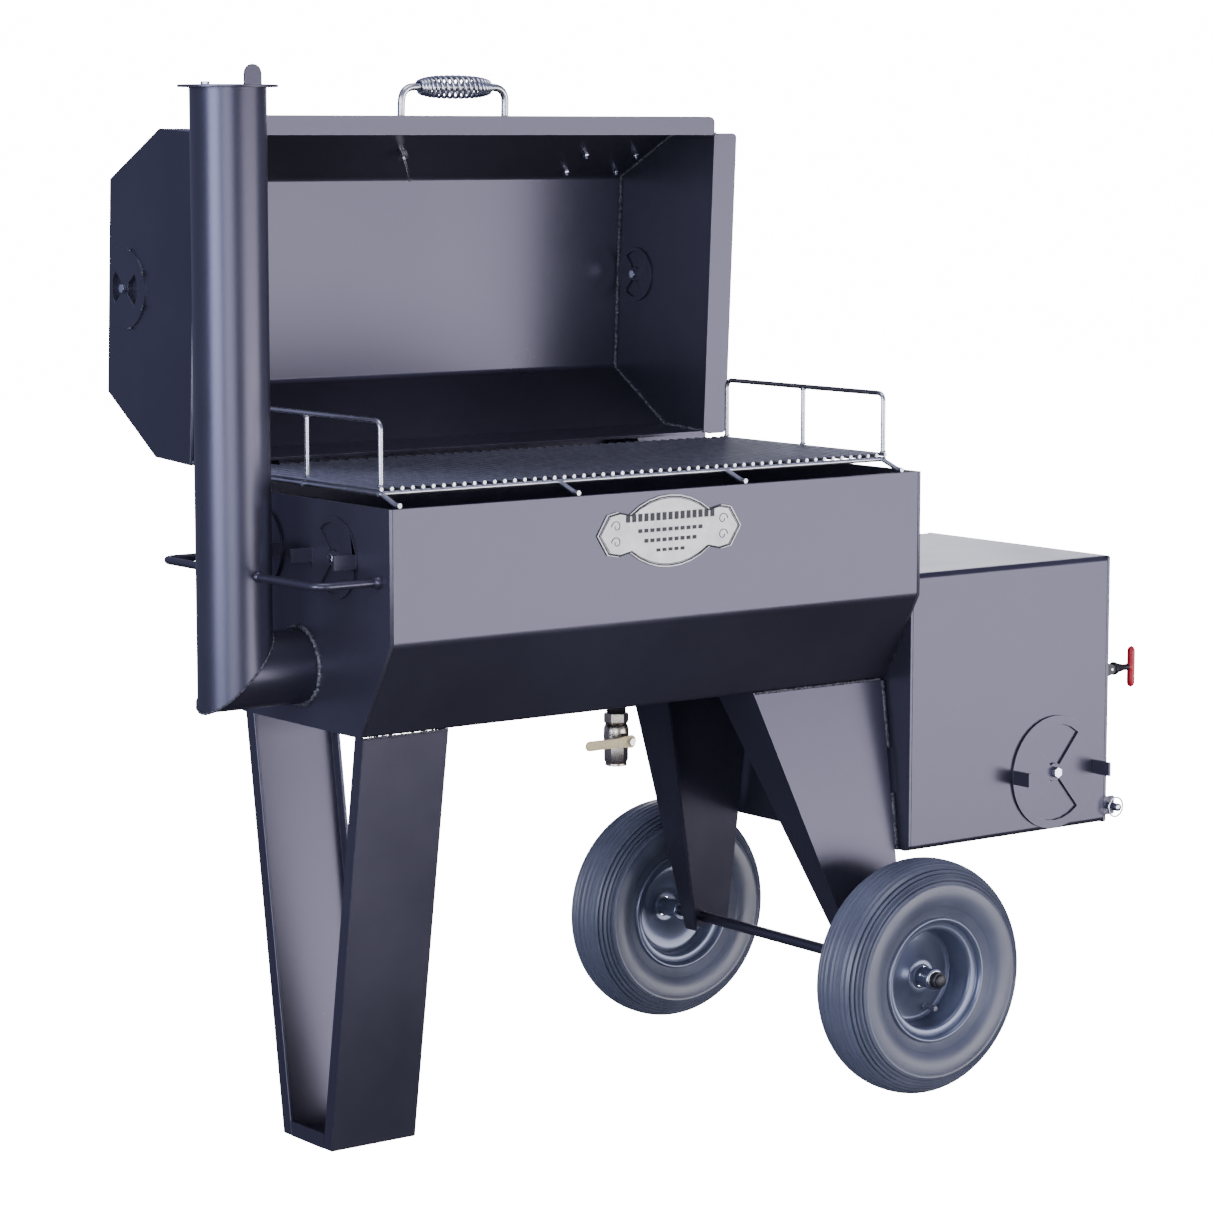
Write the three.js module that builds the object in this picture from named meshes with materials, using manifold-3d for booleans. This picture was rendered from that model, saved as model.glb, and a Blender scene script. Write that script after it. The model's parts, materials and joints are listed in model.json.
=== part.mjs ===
// Offset smoker: a folded steel cook chamber on legs and two wheels, with a side firebox, a chimney
// and a lid that stands open on its stops. Millimetres, +Z up. The pieces are laid out with x = 0 at
// the cook chamber's left end, y = 0 at its front wall and z = 0 on the ground, and the whole group
// is then moved so that its origin is below the middle of its bounding box.
import * as THREE from "three";
import Module from "manifold-3d";
import { mergeVertices } from "three/addons/utils/BufferGeometryUtils.js";

const wasm = await Module();
wasm.setup();

// cook chamber
const tubLength = 1045;
const tubDepth = 514;
const rimHeight = 1027;
const wallHeight = 207;
const slopeRun = 85;
const slopeDrop = 150;
const sheet = 5;
const endPlate = 6;
const gap = 0.3;

// lid, measured as if it were shut
const lidProud = 10.5;
const lidWall = 112;
const lidChamfer = 91;
const lidHeight = 272;
const lidOverhang = 8;
const lidLip = 27;
const lidSideLip = 45;
const lidRest = 0.5;
const lidOpenAngle = 87;
const hingeBack = 50;
const hingeDrop = 16;
const hingeInset = 150;
const hingeWidth = 52;
const hingeCheek = 14;
const hingeSideGap = 1;
const pinRadius = 6;
const knuckleRadius = 14;
const stopReach = 62;
const stopGap = 0.6;
const stopRailThickness = 5;
const stopRailLeft = 60;
const stopRailPast = 40;
const stopRailBelow = 28;
const stopRailNotch = 34;
const stopRailSide = 2;
const runningGap = 0.5;

// handle and thermometer on the lid
const handleX = 498;
const handleSpan = 210;
const handleReach = 74;
const handleRod = 12.7;
const gripLength = 146;
const gripRadius = 20.5;
const dialRadius = 38;
const stemLength = 66;

// chimney
const pipeRadius = 58.5;
const pipeWall = 4;
const pipeSides = 32;
const stackOffset = 121.5;
const flueAboveFloor = 92.5;
const stackTop = 1652;
const capOverhang = 17.5;
const capBoltOut = 8.1;
const capTabWidth = 30;
const capTabHeight = 34;
const capThickness = 4;
const sideBarRod = 12.7;
const sideBarBelowRim = 112;
const sideBarInset = 30;

// round air vents
const ventBelowRim = 86;
const ventInset = 150;
const ventRadius = 64;
const lidVentRadius = 49;
const lidVentFromTop = 58;
const ventSheet = 4;
const ventHub = 13;
const ventRing = 8;
const ventHalfAngle = 40;
const boltRadius = 4;

// firebox
const fireboxLength = 462;
const fireboxInset = 21;
const fireboxHeight = 472;
const fireboxBelowRim = 175;
const foldRadius = 10;
const passageMargin = 20;
const passageHeight = 140;
const damperRadius = 99;
const damperRing = 14;
const damperFromEnd = 129;
const damperRise = 103;
const fireGrateRise = 90;
const fireGrateThickness = 8;
const doorHingeBack = 14;
const latchInset = 34;
const latchRise = 265;
const latchGripOut = 90;
const latchGripLength = 77;
const latchTongue = 22;

// legs
const leftLegWidth = 158;
const legFlange = 25;
const footSpan = 142;
const footHeight = 24;
const rightLegTop = 277;
const rightLegBottom = 91;
const rightLegLean = 186;
const rightLegSplay = 72;
const rightLegBelowAxle = 19;
const rightFlangeTop = 105;
const rightFlangeBottom = 28;

// wheels
const tyreRadius = 197;
const tyreWidth = 114;
const wheelClear = 83;
const axleFromEnd = 62;
const axleRadius = 9.5;
const rimRadius = 100;
const hubRadius = 17;
const hubHalf = 42;
const capLength = 16;
const wheelSides = 32;

// cooking grate
const grateLeft = 8;
const grateRight = 29;
const grateFront = 46;
const grateBackInset = 29;
const grateRise = 29;
const rodSize = 6;
const rodPitch = 19.05;
const frameRod = 8;
const railHeight = 99;
const railBackInset = 48;

// drain
const drainFromEnd = 434;
const nippleRadius = 16.7;
const valveDrop = 40;
const valveHex = 20.5;
const leverLength = 84;

// front plaque
const plaqueWidth = 288;
const plaqueHeight = 116;
const plaqueThickness = 2;

const tubBottom = rimHeight - wallHeight - slopeDrop;
const middleY = tubDepth / 2;
const rightEnd = tubLength + endPlate;
const fireboxLeft = rightEnd + gap;
const fireboxRight = fireboxLeft + fireboxLength;
const fireboxFront = fireboxInset;
const fireboxBack = tubDepth - fireboxInset;
const fireboxTop = rimHeight - fireboxBelowRim;
const fireboxBottom = fireboxTop - fireboxHeight;
const lidFloor = rimHeight + lidRest;
const lidBack = tubDepth + lidProud;
const lidFront = -lidProud;
const hingeY = tubDepth + hingeBack;
const hingeZ = rimHeight - hingeDrop;
const stackX = -stackOffset;
const flueHeight = tubBottom + flueAboveFloor;
const capRadius = pipeRadius + capOverhang;
const sideBarHeight = rimHeight - sideBarBelowRim;
const ventHeight = rimHeight - ventBelowRim;
const footInset = (tubDepth - footSpan) / 2;
const rightLegEnd = tyreRadius - rightLegBelowAxle;
const wheelYs = { front: -wheelClear, rear: tubDepth + wheelClear };
const axleX = tubLength - axleFromEnd;
const grateEnd = tubLength - grateRight;
const grateLength = grateEnd - grateLeft;
const grateBack = tubDepth - grateBackInset;
const grateTop = rimHeight + grateRise;
const railBack = tubDepth - railBackInset;
const drainX = tubLength - drainFromEnd;
const valveTop = tubBottom - valveDrop;

const finishes = {
  paint: { color: 0x3b3b45, roughness: 0.5, metalness: 0.4 },
  stainless: { color: 0xb9b9bd, roughness: 0.3, metalness: 1 },
  zinc: { color: 0xc9ced6, roughness: 0.3, metalness: 1 },
  brass: { color: 0xb09a78, roughness: 0.35, metalness: 1 },
  lever: { color: 0xd9c58a, roughness: 0.5, metalness: 0 },
  red: { color: 0xb3141c, roughness: 0.4, metalness: 0 },
  rubber: { color: 0x2c2d31, roughness: 0.75, metalness: 0 },
  rim: { color: 0x6d7486, roughness: 0.35, metalness: 0.6 },
  black: { color: 0x17181b, roughness: 0.6, metalness: 0.1 },
  plaque: { color: 0xc4c3c0, roughness: 0.4, metalness: 0.9 },
};

const radians = THREE.MathUtils.degToRad;
const vector = (x, y, z) => new THREE.Vector3(x, y, z);

// ---- solids ----

function solid(geometry) {
  const plain = geometry.index ? geometry.toNonIndexed() : geometry.clone();
  plain.deleteAttribute("normal");
  plain.deleteAttribute("uv");
  const merged = mergeVertices(plain, 1e-4);
  const vertProperties = new Float32Array(merged.attributes.position.array);
  const triVerts = new Uint32Array(merged.index.array);
  return new wasm.Manifold(new wasm.Mesh({ numProp: 3, vertProperties, triVerts }));
}

function geometryOf(manifold) {
  const mesh = manifold.getMesh();
  const positions = new Float32Array(mesh.numVert * 3);
  for (let i = 0; i < mesh.numVert; i++) {
    const start = i * mesh.numProp;
    positions.set(mesh.vertProperties.subarray(start, start + 3), i * 3);
  }
  return new THREE.BufferGeometry()
    .setAttribute("position", new THREE.BufferAttribute(positions, 3))
    .setIndex(new THREE.BufferAttribute(mesh.triVerts, 1));
}

const join = (first, ...others) =>
  geometryOf(others.reduce((whole, other) => whole.add(solid(other)), solid(first)));
const cut = (first, ...others) =>
  geometryOf(others.reduce((whole, other) => whole.subtract(solid(other)), solid(first)));

function block(x0, x1, y0, y1, z0, z1) {
  return new THREE.BoxGeometry(x1 - x0, y1 - y0, z1 - z0).translate(
    (x0 + x1) / 2,
    (y0 + y1) / 2,
    (z0 + z1) / 2,
  );
}

function extruded(points, holes, depth) {
  const shape = new THREE.Shape(points.map(([a, b]) => new THREE.Vector2(a, b)));
  shape.holes = holes.map((hole) => new THREE.Path(hole.map(([a, b]) => new THREE.Vector2(a, b))));
  return new THREE.ExtrudeGeometry(shape, { depth, bevelEnabled: false, steps: 1 });
}

// Plates: the outline is in (y, z), (x, z) or (x, y), and the plate runs between two values of the third.
function plateX(points, x0, x1, holes = []) {
  const basis = new THREE.Matrix4().makeBasis(vector(0, 1, 0), vector(0, 0, 1), vector(1, 0, 0));
  return extruded(points, holes, x1 - x0).applyMatrix4(basis).translate(x0, 0, 0);
}

function plateY(points, y0, y1, holes = []) {
  const basis = new THREE.Matrix4().makeBasis(vector(1, 0, 0), vector(0, 0, 1), vector(0, -1, 0));
  return extruded(points, holes, y1 - y0).applyMatrix4(basis).translate(0, y1, 0);
}

function plateZ(points, z0, z1, holes = []) {
  return extruded(points, holes, z1 - z0).translate(0, 0, z0);
}

// A cylinder from one point to another, or a cone frustum if it has two radii.
function rod(from, to, radius, sides = 12, endRadius = radius) {
  const along = to.clone().sub(from);
  const turn = new THREE.Quaternion().setFromUnitVectors(vector(0, 1, 0), along.clone().normalize());
  const centre = from.clone().add(to).multiplyScalar(0.5);
  return new THREE.CylinderGeometry(endRadius, radius, along.length(), sides)
    .applyQuaternion(turn)
    .translate(centre.x, centre.y, centre.z);
}

// The line of a bent rod: straight stretches with a round bend at each inner corner.
class BentLine extends THREE.Curve {
  constructor(corners, bend, bendSteps) {
    super();
    this.points = [corners[0]];
    for (let i = 1; i < corners.length - 1; i++) {
      const back = corners[i - 1].clone().sub(corners[i]).normalize();
      const ahead = corners[i + 1].clone().sub(corners[i]).normalize();
      const arc = new THREE.QuadraticBezierCurve3(
        corners[i].clone().addScaledVector(back, bend),
        corners[i],
        corners[i].clone().addScaledVector(ahead, bend),
      );
      this.points.push(...arc.getPoints(bendSteps));
    }
    this.points.push(corners[corners.length - 1]);
  }
  getPointAt(u) {
    return this.points[Math.round(u * (this.points.length - 1))].clone();
  }
  getTangentAt(u) {
    const last = this.points.length - 1;
    const i = Math.round(u * last);
    const before = this.points[Math.max(i - 1, 0)];
    const after = this.points[Math.min(i + 1, last)];
    return after.clone().sub(before).normalize();
  }
}

function circle(radius, sides, centre = [0, 0], start = 0) {
  return Array.from({ length: sides }, (_, i) => {
    const angle = start + (i / sides) * 2 * Math.PI;
    return [centre[0] + radius * Math.cos(angle), centre[1] + radius * Math.sin(angle)];
  });
}

function bentRod(corners, bend, radius, sides = 8, bendSteps = 4) {
  const line = new BentLine(corners, bend, bendSteps);
  const section = new THREE.Shape(circle(radius, sides).map(([a, b]) => new THREE.Vector2(a, b)));
  return new THREE.ExtrudeGeometry(section, { steps: line.points.length - 1, extrudePath: line });
}

// The section of a folded sheet: its outer line, and the same line moved by the sheet's thickness.
function foldedSection(line, thickness) {
  const moved = line.map((point, i) => {
    const normals = [];
    for (const j of [i - 1, i]) {
      if (j < 0 || j > line.length - 2) continue;
      const [dx, dy] = [line[j + 1][0] - line[j][0], line[j + 1][1] - line[j][1]];
      const length = Math.hypot(dx, dy);
      normals.push([-dy / length, dx / length]);
    }
    const sum = normals.reduce((a, b) => [a[0] + b[0], a[1] + b[1]]);
    const scale = thickness / (sum[0] * normals[0][0] + sum[1] * normals[0][1]);
    return [point[0] + sum[0] * scale, point[1] + sum[1] * scale];
  });
  return [...line, ...moved.reverse()];
}

function arc(centre, radius, from, to, steps) {
  return Array.from({ length: steps + 1 }, (_, i) => {
    const angle = radians(from + ((to - from) * i) / steps);
    return [centre[0] + radius * Math.cos(angle), centre[1] + radius * Math.sin(angle)];
  });
}

function roundedBox(a0, a1, b0, b1, radius, steps = 3) {
  return [
    ...arc([a1 - radius, b0 + radius], radius, -90, 0, steps),
    ...arc([a1 - radius, b1 - radius], radius, 0, 90, steps),
    ...arc([a0 + radius, b1 - radius], radius, 90, 180, steps),
    ...arc([a0 + radius, b0 + radius], radius, 180, 270, steps),
  ];
}

// A round vent's opening: part of a ring around its bolt.
function ventSector(centre, inner, outer, middle, halfAngle = ventHalfAngle) {
  return [
    ...arc(centre, outer, middle - halfAngle, middle + halfAngle, 6),
    ...arc(centre, inner, middle + halfAngle, middle - halfAngle, 3),
  ];
}

// The same shape on the other side of the plane y = middleY, with its faces turned back outwards.
function mirroredY(geometry) {
  const copy = geometry.index ? geometry.toNonIndexed() : geometry.clone();
  copy.scale(1, -1, 1).translate(0, tubDepth, 0);
  const position = copy.getAttribute("position");
  for (let i = 0; i < position.count; i += 3) {
    for (let k = 0; k < 3; k++) {
      const kept = position.array[(i + 1) * 3 + k];
      position.array[(i + 1) * 3 + k] = position.array[(i + 2) * 3 + k];
      position.array[(i + 2) * 3 + k] = kept;
    }
  }
  copy.deleteAttribute("normal");
  return copy;
}

const smoker = new THREE.Group();

function add(name, finish, geometry, parent = smoker) {
  const mesh = new THREE.Mesh(geometry, new THREE.MeshStandardMaterial(finishes[finish]));
  mesh.name = name;
  parent.add(mesh);
}

// ---- cook chamber ----

const tubLine = [
  [0, rimHeight],
  [0, rimHeight - wallHeight],
  [slopeRun, tubBottom],
  [tubDepth - slopeRun, tubBottom],
  [tubDepth, rimHeight - wallHeight],
  [tubDepth, rimHeight],
];
const ventCentres = { front: [ventInset, ventHeight], rear: [tubDepth - ventInset, ventHeight] };

function addTub() {
  const drainHole = rod(
    vector(drainX, middleY, tubBottom - sheet),
    vector(drainX, middleY, tubBottom + 2 * sheet),
    nippleRadius - 4,
  );
  add("tub_shell", "paint", cut(plateX(foldedSection(tubLine, sheet), gap, tubLength - gap), drainHole));

  const leftHoles = [circle(pipeRadius - pipeWall, 32, [middleY, flueHeight])];
  for (const centre of Object.values(ventCentres)) {
    leftHoles.push(circle(boltRadius + gap, 12, centre));
    for (const middle of [0, 180])
      leftHoles.push(ventSector(centre, ventHub + 3, ventRadius - ventRing - 2, middle, ventHalfAngle - 1));
  }
  add("tub_left_end", "paint", plateX(tubLine, -endPlate, 0, leftHoles));

  const passage = roundedBox(...passageSpan(), 20);
  add("tub_right_end", "paint", plateX(tubLine, tubLength, tubLength + endPlate, [passage]));
}

// The way through from the firebox, as y0, y1, z0, z1.
function passageSpan() {
  const inset = slopeRun + passageMargin;
  const floor = tubBottom + passageMargin;
  return [inset, tubDepth - inset, floor, floor + passageHeight];
}

function addPlaque() {
  const wide = plaqueWidth / 2;
  const high = plaqueHeight / 2;
  const notch = 20;
  const outline = [
    [-wide, 0],
    [-wide + notch, high * 0.55],
    [-wide * 0.72, high * 0.62],
    ...arc([0, high - wide * 0.9], wide * 0.9, 128, 52, 8),
    [wide * 0.72, high * 0.62],
    [wide - notch, high * 0.55],
    [wide, 0],
    [wide - notch, -high * 0.55],
    [wide * 0.72, -high * 0.62],
    ...arc([0, wide * 0.9 - high], wide * 0.9, -52, -128, 8),
    [-wide * 0.72, -high * 0.62],
    [-wide + notch, -high * 0.55],
  ];
  const placed = outline.map(([x, z]) => [x + tubLength / 2, z + rimHeight - high - 7]);
  add("nameplate", "plaque", plateY(placed, -gap - plaqueThickness, -gap));
}

// ---- chimney ----

function pipe(from, to, radius = pipeRadius, wall = pipeWall) {
  const reach = to.clone().sub(from).normalize();
  return cut(
    rod(from, to, radius, pipeSides),
    rod(from.clone().addScaledVector(reach, -1), to.clone().addScaledVector(reach, 1), radius - wall, pipeSides),
  );
}

// Half of space on one side of the 45 degree mitre, from the chosen side of it outwards.
function mitreBlock(side) {
  const size = 600;
  return new THREE.BoxGeometry(size, size, size)
    .translate(0, 0, side * (size / 2 - gap / 2))
    .rotateY(-Math.PI / 4)
    .translate(stackX, middleY, flueHeight);
}

const capBolt = vector(stackX, middleY + pipeRadius + capBoltOut, stackTop);

function addChimney() {
  const far = pipeRadius * 1.6;
  const lug = plateZ(
    circle(11, 16, [capBolt.x, capBolt.y]),
    stackTop - 12,
    stackTop,
  );
  const bolt = rod(
    vector(capBolt.x, capBolt.y, stackTop - 13),
    vector(capBolt.x, capBolt.y, stackTop + 1),
    boltRadius + gap,
  );
  const bore = rod(
    vector(stackX, middleY, stackTop - 20),
    vector(stackX, middleY, stackTop + 1),
    pipeRadius - pipeWall,
    pipeSides,
  );
  const upright = cut(
    pipe(vector(stackX, middleY, flueHeight - far), vector(stackX, middleY, stackTop)),
    mitreBlock(-1),
  );
  add("stack_pipe", "paint", cut(join(upright, lug), bolt, bore));
  const flat = cut(
    pipe(vector(stackX - far, middleY, flueHeight), vector(-endPlate - gap, middleY, flueHeight)),
    mitreBlock(1),
  );
  add("flue_pipe", "paint", flat);

  const tabFoot = stackTop + gap;
  const tabRound = capTabWidth / 2;
  const tabFront = middleY - capRadius + 2;
  const tab = plateY(
    [
      [stackX - tabRound, tabFoot],
      [stackX + tabRound, tabFoot],
      ...arc([stackX, tabFoot + capTabHeight - tabRound], tabRound, 0, 180, 8),
    ],
    tabFront,
    tabFront + capThickness,
  );
  const disc = plateZ(circle(capRadius, 36, [stackX, middleY]), stackTop + gap, stackTop + gap + capThickness, [
    circle(boltRadius + gap, 12, [capBolt.x, capBolt.y]),
  ]);
  add("stack_cap", "paint", join(disc, tab));
  const shank = rod(
    vector(capBolt.x, capBolt.y, stackTop - 20),
    vector(capBolt.x, capBolt.y, stackTop + capThickness + 2),
    boltRadius,
  );
  const head = rod(
    vector(capBolt.x, capBolt.y, stackTop + capThickness + 2 * gap),
    vector(capBolt.x, capBolt.y, stackTop + capThickness + 6),
    7,
    6,
  );
  const nut = rod(
    vector(capBolt.x, capBolt.y, stackTop - 19),
    vector(capBolt.x, capBolt.y, stackTop - 12 - gap),
    7,
    6,
  );
  add("stack_cap_bolt", "zinc", join(shank, head, nut));
}

function addSideBars() {
  const out = stackX + 7;
  const bar = bentRod(
    [
      vector(-endPlate - gap, sideBarInset, sideBarHeight),
      vector(out, sideBarInset, sideBarHeight),
      vector(out, middleY - pipeRadius - 1, sideBarHeight),
    ],
    22,
    sideBarRod / 2,
  );
  add("side_bar_front", "paint", bar);
  add("side_bar_rear", "paint", mirroredY(bar));
}

// ---- round vents ----

// A vent disc in the plane of an end wall, with two openings and two bent finger tabs.
function ventDisc(centre, radius, x0, x1, tabReach) {
  const holes = [circle(boltRadius + gap, 12, centre)];
  for (const middle of [90, 270])
    holes.push(ventSector(centre, ventHub, radius - ventRing, middle));
  const disc = plateX(circle(radius, 36, centre), x0, x1, holes);
  if (!tabReach) return disc;
  const tabs = [1, -1].map((side) => {
    const y = centre[0] + side * (radius - 3);
    return block(x0 - tabReach, x0 + 1, y - 2, y + 2, centre[1] - 11, centre[1] + 11);
  });
  return join(disc, ...tabs);
}

function boltX(centre, x0, x1, headReach = 6) {
  const [y, z] = centre;
  return join(
    rod(vector(x0 - headReach, y, z), vector(x1 + headReach, y, z), boltRadius),
    rod(vector(x0 - headReach, y, z), vector(x0 - gap, y, z), 8, 6),
    rod(vector(x1 + gap, y, z), vector(x1 + headReach, y, z), 8, 6),
  );
}

function addTubVents() {
  for (const [side, centre] of Object.entries(ventCentres)) {
    const inner = -endPlate - gap;
    add(`tub_vent_${side}`, "paint", ventDisc(centre, ventRadius, inner - ventSheet, inner, 38));
    add(`tub_vent_bolt_${side}`, "zinc", boltX(centre, inner - ventSheet, 0));
  }
}

// ---- lid, in a group that turns it open about its hinge pins ----

const lid = new THREE.Group();
const lidShut = new THREE.Group();
lid.position.set(0, hingeY, hingeZ);
lid.rotation.x = -radians(lidOpenAngle);
lidShut.position.set(0, -hingeY, -hingeZ);
lid.add(lidShut);
smoker.add(lid);

const lidLine = [
  [lidFront, lidFloor],
  [lidFront, lidFloor + lidWall],
  [lidFront + lidChamfer, lidFloor + lidHeight],
  [lidBack - lidChamfer, lidFloor + lidHeight],
  [lidBack, lidFloor + lidWall],
  [lidBack, lidFloor],
];
const lidX = { left: -lidOverhang, right: tubLength + lidOverhang };
const lidVentCentre = [middleY, lidFloor + lidHeight - lidVentFromTop];
const hingeXs = { left: hingeInset, right: tubLength - hingeInset };
const hingeArmHalf = hingeWidth / 2 - hingeCheek - hingeSideGap;

// The middle of the lid's front chamfer, and the direction that points out of it.
const chamferAt = vector(
  handleX,
  lidFront + lidChamfer * 0.36,
  lidFloor + lidWall + (lidHeight - lidWall) * 0.36,
);
const chamferOut = vector(0, -(lidHeight - lidWall), lidChamfer).normalize();

function addLidShell() {
  const walls = plateX(foldedSection(lidLine, -sheet), lidX.left + sheet + gap, lidX.right - sheet - gap);
  const lip = plateZ(
    roundedBox(lidX.left + sheet, lidX.right - sheet, lidFront - lidLip, lidFront + 12, 11),
    lidFloor,
    lidFloor + sheet,
  );
  const lipTrim = block(
    lidX.left,
    lidX.right,
    lidFront + sheet,
    lidFront + 40,
    lidFloor - 1,
    lidFloor + sheet + 1,
  );
  const stemHole = rod(
    chamferAt.clone().addScaledVector(chamferOut, -20),
    chamferAt.clone().addScaledVector(chamferOut, 20),
    7,
  );
  add("lid_shell", "paint", cut(join(walls, cut(lip, lipTrim)), stemHole), lidShut);
}

// An end of the lid. Only the right-hand one has a lip turned outwards along its rim.
function addLidEnd(name, side) {
  const outer = lidX[side];
  const inward = side === "left" ? 1 : -1;
  const span = (near, far) => [Math.min(near, far), Math.max(near, far)];
  const plate = plateX(lidLine, ...span(outer, outer + inward * sheet));
  const lipOutline = roundedBox(outer - 0.5, outer + lidSideLip, lidFront + 2, lidBack, 8);
  const lips = side === "right" ? [plateZ(lipOutline, lidFloor, lidFloor + sheet)] : [];
  const surroundRadius = ventRadius + 2;
  const surround = plateX(
    [
      ...arc(lidVentCentre, surroundRadius, 180, 360, 14),
      [lidVentCentre[0] + surroundRadius, lidFloor + lidHeight - 8],
      [lidVentCentre[0] - surroundRadius, lidFloor + lidHeight - 8],
    ],
    ...span(outer - inward * 3, outer + inward * 0.5),
  );
  const cutters = [90, 270].map((middle) =>
    plateX(
      ventSector(lidVentCentre, ventHub, lidVentRadius - ventRing, middle),
      ...span(outer - inward * 10, outer + inward * 20),
    ),
  );
  const boltHole = rod(
    vector(outer - 20, ...lidVentCentre),
    vector(outer + 20, ...lidVentCentre),
    boltRadius + gap,
  );
  add(name, "paint", cut(join(plate, ...lips, surround), ...cutters, boltHole), lidShut);
  const near = outer + inward * (sheet + gap);
  const far = near + inward * ventSheet;
  const holes = [circle(boltRadius + gap, 12, lidVentCentre)];
  for (const middle of [0, 180])
    holes.push(ventSector(lidVentCentre, ventHub, lidVentRadius - ventRing, middle));
  const disc = plateX(circle(lidVentRadius, 32, lidVentCentre), ...span(near, far), holes);
  add(`lid_vent_${side}`, "paint", disc, lidShut);
  add(
    `lid_vent_bolt_${side}`,
    "zinc",
    boltX(lidVentCentre, ...span(outer - inward * 3, far), 7),
    lidShut,
  );
}

function addLidHandle() {
  const z = lidFloor + sheet + gap + handleRod / 2;
  const wall = lidFront - gap;
  const out = lidFront - handleReach;
  const ends = [handleX - handleSpan / 2, handleX + handleSpan / 2];
  const corners = [
    vector(ends[0], wall, z),
    vector(ends[0], out, z),
    vector(ends[1], out, z),
    vector(ends[1], wall, z),
  ];
  add("lid_handle_rod", "stainless", bentRod(corners, 24, handleRod / 2), lidShut);
  const bore = handleRod / 2 + runningGap;
  const waist = 12;
  const profile = [[bore, -gripLength / 2]];
  for (let i = 0; i <= 10; i++) {
    const along = i / 10;
    const swell = Math.sin(Math.PI * along) ** 0.8;
    profile.push([waist + (gripRadius - waist) * swell, (along - 0.5) * gripLength]);
  }
  profile.push([bore, gripLength / 2], [bore, -gripLength / 2]);
  const grip = new THREE.LatheGeometry(profile.map(([r, h]) => new THREE.Vector2(r, h)), 16);
  add("lid_handle_spring", "stainless", grip.rotateZ(-Math.PI / 2).translate(handleX, out, z), lidShut);
}

function addThermometer() {
  const at = (distance) => chamferAt.clone().addScaledVector(chamferOut, distance);
  add(
    "thermometer",
    "stainless",
    join(
      rod(at(gap), at(14), dialRadius, 36),
      rod(at(-24), at(2), 6, 12),
      rod(at(-24), at(-sheet - gap), 10, 6),
      rod(at(-stemLength), at(-20), 3, 10),
    ),
    lidShut,
  );
}

// The height of the open lid's back wall, at a distance behind the hinge pins.
function openWallZ(reach) {
  const angle = radians(lidOpenAngle);
  return hingeZ + (hingeY - lidBack + reach * Math.cos(angle)) / Math.sin(angle);
}

// A long rail behind the hinges, which the open lid's back wall also comes down on. It is
// notched for the two hinge arms.
function addStopRail() {
  const near = hingeY + stopReach + gap;
  const far = near + stopRailThickness;
  const outline = [
    [near, hingeZ - stopRailBelow],
    [far, hingeZ - stopRailBelow],
    [far, openWallZ(far - hingeY) - stopGap],
    [near, openWallZ(near - hingeY) - stopGap],
  ];
  const notches = Object.values(hingeXs).map((x) =>
    block(
      x - hingeArmHalf - stopRailSide,
      x + hingeArmHalf + stopRailSide,
      near - 1,
      far + 1,
      openWallZ(far - hingeY) - stopRailNotch,
      openWallZ(far - hingeY) + 1,
    ),
  );
  add("lid_stop_rail", "paint", cut(plateX(outline, stopRailLeft, rightEnd + stopRailPast), ...notches));
}

// One bored knuckle on the lid turns between two cheeks on the tub, and the cheeks' tails are its stop.
function addLidHinge(side) {
  const x = hingeXs[side];
  const half = hingeWidth / 2;
  const wallY = tubDepth + gap;
  const stopTop = (reach) => [hingeY + reach, openWallZ(reach) - stopGap];
  const cheekOutline = [
    [wallY, hingeZ - 92],
    [hingeY - 8, hingeZ - 16],
    [hingeY + stopReach - 14, hingeZ + 6],
    stopTop(stopReach),
    stopTop(stopReach - 16),
    [hingeY + 24, hingeZ + 14],
    ...arc([hingeY, hingeZ], knuckleRadius, 60, 150, 5),
    [wallY, hingeZ],
  ];
  const cheeks = [-half, half - hingeCheek].map((start) =>
    plateX(cheekOutline, x + start, x + start + hingeCheek),
  );
  const pin = rod(vector(x - half - 3, hingeY, hingeZ), vector(x + half + 3, hingeY, hingeZ), pinRadius, 16);
  add(`lid_hinge_base_${side}`, "paint", join(...cheeks, pin));

  const armOutline = [
    [lidBack + gap, lidFloor + 12],
    ...arc([hingeY, hingeZ], knuckleRadius, 200, 400, 8),
    [lidBack + 10, lidFloor + lidWall - 10],
    [lidBack + gap, lidFloor + lidWall - 10],
  ];
  const bore = circle(pinRadius + runningGap, 16, [hingeY, hingeZ]);
  const arm = plateX(armOutline, x - hingeArmHalf, x + hingeArmHalf, [bore]);
  add(`lid_hinge_arm_${side}`, "paint", arm, lidShut);
}

// ---- firebox ----

const damperCentre = [fireboxRight - damperFromEnd, fireboxBottom + damperRise];
const doorThickness = 6;

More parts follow.
